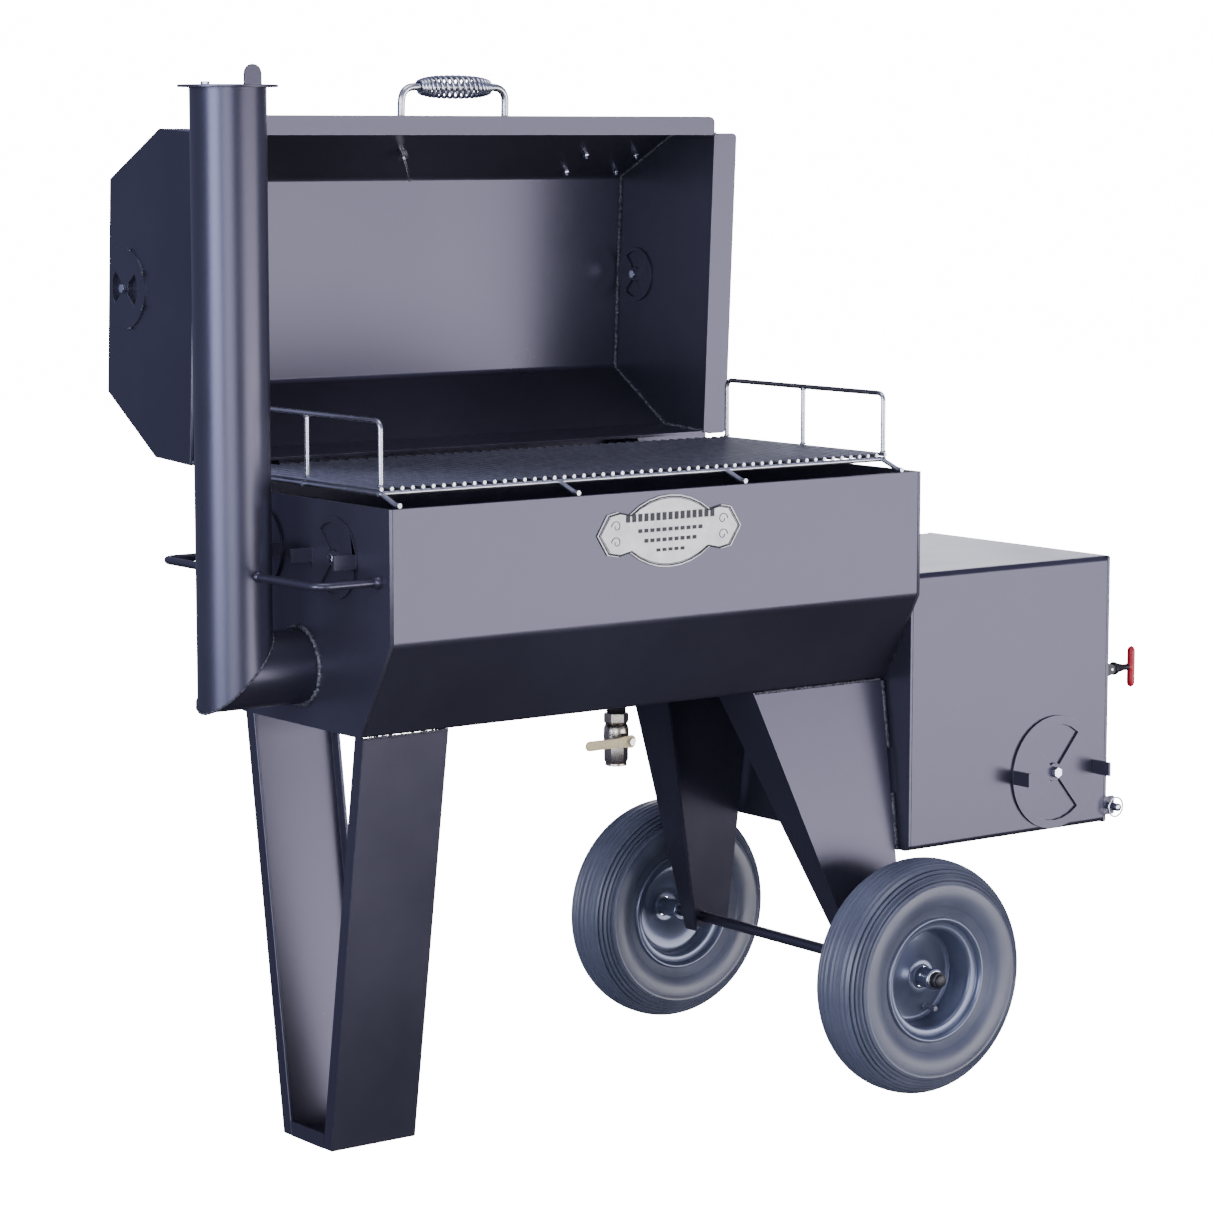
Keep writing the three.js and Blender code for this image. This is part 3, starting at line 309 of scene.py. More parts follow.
def colourMix(tree, factor, first, second):
    node = addNode(tree, "ShaderNodeMix", data_type="RGBA")
    for index, value in ((6, first), (7, second)):
        if isinstance(value, tuple):
            node.inputs[index].default_value = (*value, 1)
        else:
            tree.links.new(value, node.inputs[index])
    tree.links.new(factor, node.inputs[0])
    return node.outputs[2]


def bump(tree, shader, height, strength, distance):
    node = addNode(tree, "ShaderNodeBump", [("Strength", strength), ("Distance", distance)])
    tree.links.new(height, node.inputs["Height"])
    tree.links.new(node.outputs[0], shader.inputs["Normal"])


# the last tone of each is the colour of rounded edges: partly wear, partly a painted highlight
paintTones = {
    "charcoal": {
        "deep": (0.072, 0.069, 0.096),
        "light": (0.098, 0.094, 0.128),
        "dust": (0.2, 0.2, 0.24),
        "rubAndSheen": (0.2, 0.2, 0.24),
    },
    "black": {
        "deep": (0.012, 0.012, 0.015),
        "light": (0.022, 0.022, 0.027),
        "dust": (0.08, 0.08, 0.09),
        "rubAndSheen": (0.09, 0.09, 0.1),
    },
}


def sprayedPaint(name, tones, roughness, metallic):
    material, tree, shader = newFinish(name, {"Metallic": metallic, "IOR": 1.5})
    spray, edge = useGroup(tree, "spray"), useGroup(tree, "edge")
    body = colourMix(tree, spray.outputs["Shade"], tones["deep"], tones["light"])
    dusty = colourMix(tree, spray.outputs["Dust"], body, tones["dust"])
    # rounded edges are lightened: partly wear, partly a painted highlight where the edge catches the light
    rubbedAndSheened = colourMix(tree, span(tree, edge.outputs["Mask"], 0, 1, 0, 0.55), dusty, tones["rubAndSheen"])
    tree.links.new(rubbedAndSheened, shader.inputs["Base Color"])
    rough = span(tree, spray.outputs["Shade"], 0, 1, roughness - 0.04, roughness + 0.06)
    tree.links.new(rough, shader.inputs["Roughness"])
    bump(tree, shader, spray.outputs["Peel"], 0.12, 0.0006)
    return material


def weldMetal():
    material, tree, shader = newFinish("paintedWeld", {"Metallic": 0.5, "IOR": 1.5})
    lump = useGroup(tree, "lump")
    tone = colourMix(tree, lump.outputs["Tone"], (0.04, 0.04, 0.05), (0.17, 0.17, 0.19))
    tree.links.new(tone, shader.inputs["Base Color"])
    tree.links.new(span(tree, lump.outputs["Tone"], 0, 1, 0.5, 0.3), shader.inputs["Roughness"])
    bump(tree, shader, lump.outputs["Height"], 0.8, 0.0012)
    return material


def brightMetal(name, dark, light, rough, lines=0.25):
    material, tree, shader = newFinish(name, {"Metallic": 1.0})
    drawn, edge = useGroup(tree, "drawn"), useGroup(tree, "edge")
    tone = colourMix(tree, drawn.outputs["Blotch"], dark, light)
    # rounded edges are lightened: partly polished wear, partly a painted highlight where the edge catches the
    # light
    polishedAndHighlit = tuple(min(1, channel * 1.25) for channel in light)
    wornAndHighlit = colourMix(tree, span(tree, edge.outputs["Mask"], 0, 1, 0, 0.5), tone, polishedAndHighlit)
    tree.links.new(wornAndHighlit, shader.inputs["Base Color"])
    tree.links.new(span(tree, drawn.outputs["Line"], 0.3, 0.7, rough[0], rough[1]), shader.inputs["Roughness"])
    bump(tree, shader, drawn.outputs["Line"], lines, 0.0003)
    return material


def mouldedPlastic(name, colour, shade, roughness):
    material, tree, shader = newFinish(name, {"Metallic": 0.0, "IOR": 1.48})
    lump = useGroup(tree, "lump")
    tone = colourMix(tree, lump.outputs["Tone"], colour, shade)
    tree.links.new(tone, shader.inputs["Base Color"])
    rough = span(tree, lump.outputs["Tone"], 0, 1, roughness, roughness + 0.08)
    tree.links.new(rough, shader.inputs["Roughness"])
    bump(tree, shader, lump.outputs["Height"], 0.05, 0.0004)
    return material


def tyreRubber():
    material, tree, shader = newFinish("tyreRubber", {"Metallic": 0.0, "IOR": 1.62})
    place = addNode(tree, "ShaderNodeTexCoord").outputs["Object"]
    drift = span(tree, noise(tree, place, 11, 5), 0.3, 0.7)
    bloom = span(tree, noise(tree, place, 3.1, 4), 0.4, 0.7)
    base = colourMix(tree, drift, (0.066, 0.071, 0.102), (0.110, 0.119, 0.160))
    faded = colourMix(tree, span(tree, bloom, 0, 1, 0, 0.45), base, (0.165, 0.180, 0.232))
    tree.links.new(faded, shader.inputs["Base Color"])
    tree.links.new(span(tree, drift, 0, 1, 0.30, 0.44), shader.inputs["Roughness"])
    bump(tree, shader, noise(tree, place, 340, 4), 0.16, 0.0008)
    return material


def rimEnamel():
    constants = {"Metallic": 0.55, "Coat Weight": 0.35, "Coat Roughness": 0.22, "IOR": 1.5}
    material, tree, shader = newFinish("rimEnamel", constants)
    spray, edge = useGroup(tree, "spray"), useGroup(tree, "edge")
    base = colourMix(tree, spray.outputs["Shade"], (0.125, 0.142, 0.205), (0.180, 0.202, 0.280))
    # rounded edges are lightened: partly wear, partly a painted highlight where the edge catches the light
    rubbedAndSheened = colourMix(tree, edge.outputs["Mask"], base, (0.3, 0.32, 0.38))
    tree.links.new(rubbedAndSheened, shader.inputs["Base Color"])
    tree.links.new(span(tree, spray.outputs["Shade"], 0, 1, 0.28, 0.36), shader.inputs["Roughness"])
    bump(tree, shader, spray.outputs["Peel"], 0.08, 0.0005)
    return material


finish = {
    "paint": sprayedPaint("charcoalPaint", paintTones["charcoal"], 0.31, 0.72),
    "weld": weldMetal(),
    "stainless": brightMetal("drawnStainless", (0.50, 0.50, 0.51), (0.68, 0.68, 0.69), (0.2, 0.34)),
    "coil": brightMetal("coilSteel", (0.52, 0.53, 0.57), (0.78, 0.79, 0.83), (0.16, 0.26), 0.1),
    "zinc": brightMetal("brightZinc", (0.62, 0.66, 0.76), (0.85, 0.88, 0.95), (0.14, 0.26), 0.12),
    "brass": brightMetal("nickelledBrass", (0.46, 0.40, 0.32), (0.66, 0.60, 0.50), (0.2, 0.36)),
    "lever": mouldedPlastic("creamLever", (0.70, 0.56, 0.27), (0.80, 0.68, 0.40), 0.36),
    "red": mouldedPlastic("redGrip", (0.62, 0.010, 0.030), (0.72, 0.02, 0.045), 0.28),
    "rubber": tyreRubber(),
    "rim": rimEnamel(),
    "black": sprayedPaint("blackIron", paintTones["black"], 0.36, 0.15),
    "rods": brightMetal("grateRods", (0.55, 0.56, 0.60), (0.74, 0.75, 0.79), (0.3, 0.42), 0.04),
    "plaque": brightMetal("polishedPlaque", (0.36, 0.355, 0.37), (0.46, 0.45, 0.46), (0.34, 0.46), 0.1),
    "ink": mouldedPlastic("plaqueInk", (0.03, 0.03, 0.035), (0.05, 0.05, 0.055), 0.5),
}
print("finishes ready:", len(finish))

# making pieces


def showMesh(name, mesh, body, finishName, smoothAngle=35, stands=()):
    mesh.materials.clear()
    mesh.materials.append(finish[finishName])
    for polygon in mesh.polygons:
        polygon.use_smooth = True
    mesh.set_sharp_from_angle(angle=math.radians(smoothAngle))
    piece = addObject(name, mesh)
    if stands:
        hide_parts(*stands)
    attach(piece, body)
    return piece


def meshFrom(name, bm):
    mesh = bpy.data.meshes.new(name)
    bm.to_mesh(mesh)
    bm.free()
    return mesh


def show(name, bm, body, finishName, smoothAngle=35, stands=()):
    return showMesh(name, meshFrom(name, bm), body, finishName, smoothAngle, stands)


# a rod or wire through a list of points, with round bends of the given radius
def roundedPath(points, bend, steps=6):
    path = [points[0]]
    for before, here, after in zip(points, points[1:], points[2:]):
        back, ahead = (before - here).normalized(), (after - here).normalized()
        start, end = here + back * bend, here + ahead * bend
        for i in range(steps + 1):
            t = i / steps
            path.append(start.lerp(here, t).lerp(here.lerp(end, t), t))
    path.append(points[-1])
    return path


def sweep(bm, path, radius, sides=12, capped=True):
    rings = []
    tangent = (path[1] - path[0]).normalized()
    normal = tangent.orthogonal().normalized()
    for i, point in enumerate(path):
        ahead = (path[min(i + 1, len(path) - 1)] - path[max(i - 1, 0)]).normalized()
        normal = tangent.rotation_difference(ahead) @ normal
        normal = (normal - ahead * normal.dot(ahead)).normalized()
        tangent = ahead
        side = tangent.cross(normal)
        size = radius(i / (len(path) - 1)) if callable(radius) else radius
        ring = []
        for k in range(sides):
            angle = 2 * math.pi * k / sides
            ring.append(bm.verts.new(point + (normal * math.cos(angle) + side * math.sin(angle)) * size))
        rings.append(ring)
    for one, two in zip(rings, rings[1:]):
        for k in range(sides):
            bm.faces.new((one[k], one[(k + 1) % sides], two[(k + 1) % sides], two[k]))
    if capped:
        bm.faces.new(list(reversed(rings[0])))
        bm.faces.new(rings[-1])
    return rings


# a profile of (radius, distance) pairs spun about a line; a closed profile makes a ring
def spin(bm, profile, base, axis, sides=48, closed=True):
    axis = Vector(axis).normalized()
    across = axis.orthogonal().normalized()
    other = axis.cross(across)
    rings = []
    for radius, along in profile:
        if radius < 1e-7:
            rings.append([bm.verts.new(base + axis * along)] * sides)
            continue
        ring = []
        for k in range(sides):
            angle = 2 * math.pi * k / sides
            spoke = across * math.cos(angle) + other * math.sin(angle)
            ring.append(bm.verts.new(base + axis * along + spoke * radius))
        rings.append(ring)
    pairs = list(zip(rings, rings[1:])) + ([(rings[-1], rings[0])] if closed else [])
    made = []
    for one, two in pairs:
        for k in range(sides):
            corners = [one[k], one[(k + 1) % sides], two[(k + 1) % sides], two[k]]
            unique = list(dict.fromkeys(corners))
            if len(unique) > 2:
                made.append(bm.faces.new(unique))
    bmesh.ops.recalc_face_normals(bm, faces=made)
    return made


def millimetres(profile):
    return [(radius / 1000, along / 1000) for radius, along in profile]


# a plain cylinder with softened rims
def stub(bm, base, axis, radius, length, sides=24, soft=0.0008):
    soft = min(soft, radius * 0.4, length * 0.4)
    foot = [(0, 0), (radius - soft, 0), (radius, soft)]
    head = [(radius, length - soft), (radius - soft, length), (0, length)]
    spin(bm, foot + head, base, axis, sides, closed=False)


# walls between outlines with the same number of points, closed at both ends
def joinRings(bm, rings):
    faces = [bm.faces.new(rings[0]), bm.faces.new(rings[-1])]
    count = len(rings[0])
    for one, two in zip(rings, rings[1:]):
        for k in range(count):
            faces.append(bm.faces.new((one[k], one[(k + 1) % count], two[(k + 1) % count], two[k])))
    bmesh.ops.recalc_face_normals(bm, faces=faces)


def hexHead(bm, base, axis, across, height, turn=0.0):
    axis = Vector(axis).normalized()
    start = axis.orthogonal().normalized()
    rings = []
    for along, share in ((0, 0.97), (height * 0.12, 1), (height * 0.8, 1), (height, 0.86)):
        ring = []
        for k in range(6):
            side = Quaternion(axis, turn + k * math.pi / 3) @ start
            ring.append(bm.verts.new(base + axis * along + side * across / 2 * share))
        rings.append(ring)
    joinRings(bm, rings)


# sheet-metal pieces: how far their long folds and their sharp edges are rounded
plainSheet = {"fold": 0, "edge": 0.0008}
sheetMetal = {
    "tub_shell": {"fold": 0.006, "edge": 0.0009},
    "lid_shell": {"fold": 0.006, "edge": 0.0009},
    "left_leg_front": {"fold": 0, "edge": 0.0016},
    "left_leg_rear": {"fold": 0, "edge": 0.0016},
    "right_leg_front": {"fold": 0, "edge": 0.0016},
    "right_leg_rear": {"fold": 0, "edge": 0.0016},
    "lid_left_end": {"fold": 0, "edge": 0.0007},
    "lid_right_end": {"fold": 0, "edge": 0.0007},
}
made = set()


def softened(node):
    size = sheetMetal.get(node, plainSheet)
    bm = bmesh.new()
    bm.from_mesh(nodes[node].data)
    bmesh.ops.remove_doubles(bm, verts=bm.verts, dist=0.00002)
    bmesh.ops.dissolve_limit(bm, angle_limit=math.radians(0.6), verts=bm.verts, edges=bm.edges)

    def meeting(low, high, longest=0.0):
        return [
            edge
            for edge in bm.edges
            if len(edge.link_faces) == 2
            and math.radians(low) < edge.calc_face_angle(0) < math.radians(high)
            and edge.calc_length() > longest
        ]

    def roundOff(edges, offset, segments):
        shape = {"segments": segments, "profile": 0.5, "affect": "EDGES", "clamp_overlap": True}
        bmesh.ops.bevel(bm, geom=edges, offset=offset, **shape)

    if size["fold"]:
        roundOff(meeting(15, 75, 0.5), size["fold"], 4)
    roundOff(meeting(50, 180), size["edge"], 2)
    mesh = meshFrom(node + "_rounded", bm)
    slotName = nodeSlot[node]
    piece = showMesh(node + "_rounded", mesh, nodeBody[node], slotName, 32, [node])
    evenOut = piece.modifiers.new("evenNormals", "WEIGHTED_NORMAL")
    evenOut.weight = 100
    evenOut.keep_sharp = True
    bpy.context.view_layer.update()
    evened = bpy.data.meshes.new_from_object(piece.evaluated_get(bpy.context.evaluated_depsgraph_get()))
    piece.modifiers.clear()
    piece.data = evened
    made.add(node)


# grate
grateSizes = {
    "rodRadius": 0.0031,
    "pitch": 0.01905,
    "frameRadius": 0.004,
    "inset": 0.006,
    "lug": 0.011,
    "crossBars": 4,
    "barBend": 0.005,
    "railBend": 0.014,
}


def newTree(name, sockets):
    tree = bpy.data.node_groups.new(name, "GeometryNodeTree")
    face = tree.interface
    face.new_socket("Geometry", in_out="INPUT", socket_type="NodeSocketGeometry")
    for label, kind in sockets.items():
        face.new_socket(label, in_out="INPUT", socket_type="NodeSocket" + kind)
    face.new_socket("Geometry", in_out="OUTPUT", socket_type="NodeSocketGeometry")
    return tree, tree.nodes.new("NodeGroupInput"), tree.nodes.new("NodeGroupOutput")


# one rod repeated along a line
def rodTree():
    sockets = {"Count": "Int", "Pitch": "Float", "Length": "Float", "Radius": "Float", "Start": "Vector"}
    tree, given, out = newTree("rodRow", {**sockets, "Finish": "Material"})
    add, link = tree.nodes.new, tree.links.new
    step = add("ShaderNodeCombineXYZ")
    line = add("GeometryNodeMeshLine")
    one = add("GeometryNodeMeshCylinder")
    one.inputs["Vertices"].default_value = 10
    laid = add("GeometryNodeTransform")
    laid.inputs["Rotation"].default_value = (math.pi / 2, 0, 0)
    row = add("GeometryNodeInstanceOnPoints")
    solid = add("GeometryNodeRealizeInstances")
    painted = add("GeometryNodeSetMaterial")
    link(given.outputs["Pitch"], step.inputs["X"])
    link(given.outputs["Count"], line.inputs["Count"])
    link(given.outputs["Start"], line.inputs["Start Location"])
    link(step.outputs[0], line.inputs["Offset"])
    link(given.outputs["Radius"], one.inputs["Radius"])
    link(given.outputs["Length"], one.inputs["Depth"])
    link(one.outputs["Mesh"], laid.inputs["Geometry"])
    link(line.outputs["Mesh"], row.inputs["Points"])
    link(laid.outputs["Geometry"], row.inputs["Instance"])
    link(row.outputs["Instances"], solid.inputs["Geometry"])
    link(solid.outputs["Geometry"], painted.inputs["Geometry"])
    link(given.outputs["Finish"], painted.inputs["Material"])
    link(painted.outputs["Geometry"], out.inputs["Geometry"])
    return tree


# weld bead: overlapping lumps along a polyline
lumpScatter = {"size": (0.75, 1.15), "turn": (0, 6.28), "shift": (-0.0005, 0.0005)}


def beadTree():
    sockets = {"Spacing": "Float", "Radius": "Float", "Seed": "Int", "Finish": "Material"}
    tree, given, out = newTree("weldRun", sockets)
    add, link = tree.nodes.new, tree.links.new

    def scatter(low, high):
        source = add("FunctionNodeRandomValue")
        source.data_type = "FLOAT_VECTOR"
        source.inputs[0].default_value = (low, low, low)
        source.inputs[1].default_value = (high, high, high)
        link(given.outputs["Seed"], source.inputs["Seed"])
        return source.outputs[0]

    curve = add("GeometryNodeMeshToCurve")
    steps = add("GeometryNodeResampleCurve")
    steps.mode = "LENGTH"
    lump = add("GeometryNodeMeshIcoSphere")
    lump.inputs["Subdivisions"].default_value = 2
    lumps = add("GeometryNodeInstanceOnPoints")
    moved = add("GeometryNodeSetPosition")
    solid = add("GeometryNodeRealizeInstances")
    painted = add("GeometryNodeSetMaterial")
    link(given.outputs["Geometry"], curve.inputs["Mesh"])
    link(curve.outputs["Curve"], steps.inputs["Curve"])
    link(given.outputs["Spacing"], steps.inputs["Length"])
    link(steps.outputs["Curve"], moved.inputs["Geometry"])
    link(scatter(*lumpScatter["shift"]), moved.inputs["Offset"])
    link(given.outputs["Radius"], lump.inputs["Radius"])
    link(moved.outputs["Geometry"], lumps.inputs["Points"])
    link(lump.outputs["Mesh"], lumps.inputs["Instance"])
    link(scatter(*lumpScatter["size"]), lumps.inputs["Scale"])
    link(scatter(*lumpScatter["turn"]), lumps.inputs["Rotation"])
    link(lumps.outputs["Instances"], solid.inputs["Geometry"])
    link(solid.outputs["Geometry"], painted.inputs["Geometry"])
    link(given.outputs["Finish"], painted.inputs["Material"])
    link(painted.outputs["Geometry"], out.inputs["Geometry"])
    return tree


trees = {"rods": rodTree(), "bead": beadTree()}


def grow(name, treeName, inputs, base, body, finishName, stands=()):
    carrier = addObject(name + "_base", base)
    modifier = carrier.modifiers.new("grow", "NODES")
    modifier.node_group = trees[treeName]
    for item in trees[treeName].interface.items_tree:
        if item.in_out == "INPUT" and item.name in inputs:
            modifier[item.identifier] = inputs[item.name]
    bpy.context.view_layer.update()
    evaluated = carrier.evaluated_get(bpy.context.evaluated_depsgraph_get())
    mesh = bpy.data.meshes.new_from_object(evaluated)
    mesh.name = name
    bpy.data.objects.remove(carrier)
    return showMesh(name, mesh, body, finishName, 60, stands)


def polyline(name, runs):
    mesh = bpy.data.meshes.new(name)
    points, edges = [], []
    for run in runs:
        start = len(points)
        points += [tuple(p) for p in run]
        edges += [(i, i + 1) for i in range(start, len(points) - 1)]
    mesh.from_pydata(points, edges, [])
    return mesh


def makeGrate():
    low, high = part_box("cooking_grate")
    rod = grateSizes["rodRadius"]
    between = high.x - low.x - 2 * rod
    count = round(between / grateSizes["pitch"]) + 1
    start = Vector((low.x + rod, (low.y + high.y) / 2, high.z - rod))
    inputs = {"Count": count, "Pitch": between / (count - 1), "Length": high.y - low.y, "Radius": rod}
    inputs.update({"Start": start, "Finish": finish["rods"]})
    base = polyline("rodBase", [[start, start + Vector((0.01, 0, 0))]])
    grow("cooking_rods", "rods", inputs, base, "grate", "rods", ["cooking_grate"])
    made.add("cooking_grate")

    frameLow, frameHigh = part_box("grate_frame")
    radius = grateSizes["frameRadius"]
    level = frameHigh.z - radius
    inset, lug = grateSizes["inset"], grateSizes["lug"]
    bm = bmesh.new()
    for y in (low.y + inset, (low.y + high.y) / 2, high.y - inset):
        sweep(bm, [Vector((low.x, y, level)), Vector((high.x, y, level))], radius, 12)
    for i in range(grateSizes["crossBars"]):
        x = low.x + inset + i * (high.x - low.x - 2 * inset) / (grateSizes["crossBars"] - 1)
        rest = frameLow.z + radius
        points = [
            Vector((x, frameLow.y, rest)),
            Vector((x, frameLow.y + lug, rest)),
            Vector((x, low.y + inset, level)),
            Vector((x, high.y - inset, level)),
            Vector((x, frameHigh.y - lug, rest)),
            Vector((x, frameHigh.y, rest)),
        ]
        sweep(bm, roundedPath(points, grateSizes["barBend"]), radius * 0.97, 12)
    show("grate_bars", bm, "grate", "rods", 40, ["grate_frame"])
    made.add("grate_frame")

    for side in ("left", "right"):
        node = "grate_rail_" + side
        low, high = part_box(node)
        x, middle = (low.x + high.x) / 2, (low.y + high.y) / 2
        near, far, top = low.y + radius, high.y - radius, high.z - radius
        bm = bmesh.new()
        ends = [Vector((x, y, z)) for y, z in ((near, low.z), (near, top), (far, top), (far, low.z))]
        sweep(bm, roundedPath(ends, grateSizes["railBend"], 10), radius, 14)
        sweep(bm, [Vector((x, middle, low.z)), Vector((x, middle, top))], radius * 0.97, 14)
        footWeld = millimetres([(3.6, 0), (5.6, 0.4), (5.2, 2.2), (3.9, 3.8)])
        for y in (near, middle, far):
            spin(bm, footWeld, Vector((x, y, low.z)), (0, 0, 1), 14)
        topWeld = millimetres([(3.6, 0), (5.4, 0.6), (3.8, 3.4)])
        spin(bm, topWeld, Vector((x, middle, top - radius - 0.002)), (0, 0, 1), 14)
        show(node + "_bent", bm, "grate", "stainless", 40, [node])
        made.add(node)


makeGrate()
print("grate ready")

# lid handle and thermometer
handle = {
    "rod": 0.00635,
    "bend": 0.026,
    "footHeight": 1039.15,
    "turns": 17,
    "wire": 0.0028,
    "waist": 0.0095,
    "belly": 0.0176,
    "bunching": 0.42,
}
dial = {"x": 498, "share": 0.36, "ticks": 24, "major": 4, "sweep": 270, "reading": -118}


def makeHandle():
    low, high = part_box("lid_handle_rod")
    coilLow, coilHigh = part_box("lid_handle_spring")
    coil = (coilLow + coilHigh) / 2
    radius = handle["rod"]
    wallEnd = onLid(0, -11, handle["footHeight"])
    bm = bmesh.new()
    points = [
        Vector((low.x + radius, wallEnd.y, wallEnd.z)),
        Vector((low.x + radius, coil.y, coil.z)),
        Vector((high.x - radius, coil.y, coil.z)),
        Vector((high.x - radius, wallEnd.y, wallEnd.z)),
    ]
    sweep(bm, roundedPath(points, handle["bend"], 12), radius, 20)
    show("lid_handle_bent", bm, "lid", "stainless", 40, ["lid_handle_rod"])

    bm = bmesh.new()
    steps = handle["turns"] * 22
    length = (coilHigh.x - coilLow.x) - 2 * handle["wire"]
    path = []
    for i in range(steps + 1):
        share = i / steps
        angle = 2 * math.pi * handle["turns"] * share
        reach = handle["waist"] + (handle["belly"] - handle["waist"]) * math.sin(math.pi * share) ** 0.8
        along = share - 0.5 - handle["bunching"] * math.sin(2 * math.pi * share) / (2 * math.pi)
        path.append(coil + Vector((along * length, reach * math.cos(angle), reach * math.sin(angle))))
    sweep(bm, path, handle["wire"], 9)
    show("lid_handle_coil", bm, "lid", "coil", 60, ["lid_handle_spring"])
    made.update(("lid_handle_rod", "lid_handle_spring"))


def makeThermometer():
    centre, out = onSlope(dial["x"], dial["share"]), slopeOut
    bm = bmesh.new()
    case = [(0, 0.3), (36.4, 0.3), (37.6, 1.2), (38, 3), (38, 12)]
    case += [(37.2, 13.6), (35.4, 14), (34, 13.2), (33.6, 11.4), (0, 11.4)]
    spin(bm, millimetres(case), centre, out, 64, closed=False)
    stub(bm, centre - out * 0.0235, out, 0.006, 0.0225, 20)
    hexHead(bm, centre - out * 0.0235, out, 0.020, 0.013)
    stub(bm, centre - out * 0.066, out, 0.003, 0.045, 16)
    show("thermometer_case", bm, "lid", "stainless", 35, ["thermometer"])
    made.add("thermometer")

    bm = bmesh.new()
    face = centre + out * 0.0116
    up = Vector((1, 0, 0)).cross(out).normalized()
    for i in range(dial["ticks"] + 1):
        angle = math.radians(dial["sweep"] * (i / dial["ticks"] - 0.5))
        ray = Quaternion(out, angle) @ up
        near, far, half = (0.024, 0.031, 0.00055) if i % dial["major"] == 0 else (0.0275, 0.031, 0.0003)
        side = ray.cross(out)
        corners = ((near, -half), (near, half), (far, half), (far, -half))
        bm.faces.new([bm.verts.new(face + ray * along + side * across) for along, across in corners])
    needle = Quaternion(out, math.radians(dial["reading"])) @ up
    side = needle.cross(out)
    tips = (side * -0.0018 - needle * 0.006, side * 0.0018 - needle * 0.006, needle * 0.026)
    bm.faces.new([bm.verts.new(face + out * 0.0006 + tip) for tip in tips])
    for flat in bm.faces:
        flat.normal_update()
        if flat.normal.dot(out) < 0:
            flat.normal_flip()
    show("thermometer_marks", bm, "lid", "ink")


makeHandle()
makeThermometer()
print("lid fittings ready")

# wheels
wheel = {
    "grooves": (5, 14, 23, 33, 43, 53, 62, 70),
    "grooveDepth": 3.4,
    "sectionCentre": 150,
    "halfHeight": 47,
    "halfWidth": 57,
    "ringDepth": -0.9,
    "firstAngle": -38,
    "angleStep": 2.4,
    "angleCount": 107,
    "sides": 120,
}


# the far half of a profile that is the same on both sides of the wheel's middle
def flipped(profile):
    return [(radius, -along) for radius, along in reversed(profile)]


# the tyre's section from one bead to the other, with its ribs cut in
def tyreSection():
    beadEdge = [(98.6, 30), (100.2, 38), (103.5, 41.5), (107, 43)]
    ribs = []
    for i in range(wheel["angleCount"]):
        angle = round(wheel["firstAngle"] + wheel["angleStep"] * i, 2)
        lean = math.radians(angle)
        swell = abs(math.sin(lean)) ** 0.92 * (1 if math.sin(lean) >= 0 else -1)
        flat = abs(math.cos(lean)) ** 0.86 * (1 if math.cos(lean) >= 0 else -1)
        depth = 0
        for groove in wheel["grooves"]:
            for side in (-1, 1):
                away = abs(angle - 90 - side * groove)
                if away < 1.3:
                    depth = wheel["grooveDepth"]
        for ring in (12, 168):
            if abs(angle - ring) < 1.3:
                depth = wheel["ringDepth"]
        cut = (depth if flat > 0 else -depth) if abs(flat) > 0.7 else 0
        reach = wheel["sectionCentre"] + (wheel["halfHeight"] - depth) * swell
        ribs.append((reach, wheel["halfWidth"] * flat - cut))
    return [*beadEdge, *ribs, *flipped(beadEdge)]


# sheet of one thickness that follows a line
def rimLine(line, thick):
    outside, inside = [], []
    for i, point in enumerate(line):
        before, after = line[max(i - 1, 0)], line[min(i + 1, len(line) - 1)]
        dx, dy = after[0] - before[0], after[1] - before[1]
        size = math.hypot(dx, dy) or 1
        outside.append((point[0] - dy / size * thick / 2, point[1] + dx / size * thick / 2))
        inside.append((point[0] + dy / size * thick / 2, point[1] - dx / size * thick / 2))
    return outside + inside[::-1]


# a smooth curve through a few points
def smoothLine(points, steps=5):
    line = []
    for i in range(len(points) - 1):
        p0, p1 = points[max(i - 1, 0)], points[i]
        p2, p3 = points[i + 1], points[min(i + 2, len(points) - 1)]
        for k in range(steps):
            t = k / steps
            pair = []
            for a, b, c, d in zip(p0, p1, p2, p3):
                square, cube = 2 * a - 5 * b + 4 * c - d, 3 * b - a - 3 * c + d
                pair.append(0.5 * (2 * b + (c - a) * t + square * t * t + cube * t**3))
            line.append(tuple(pair))
    line.append(points[-1])
    return line


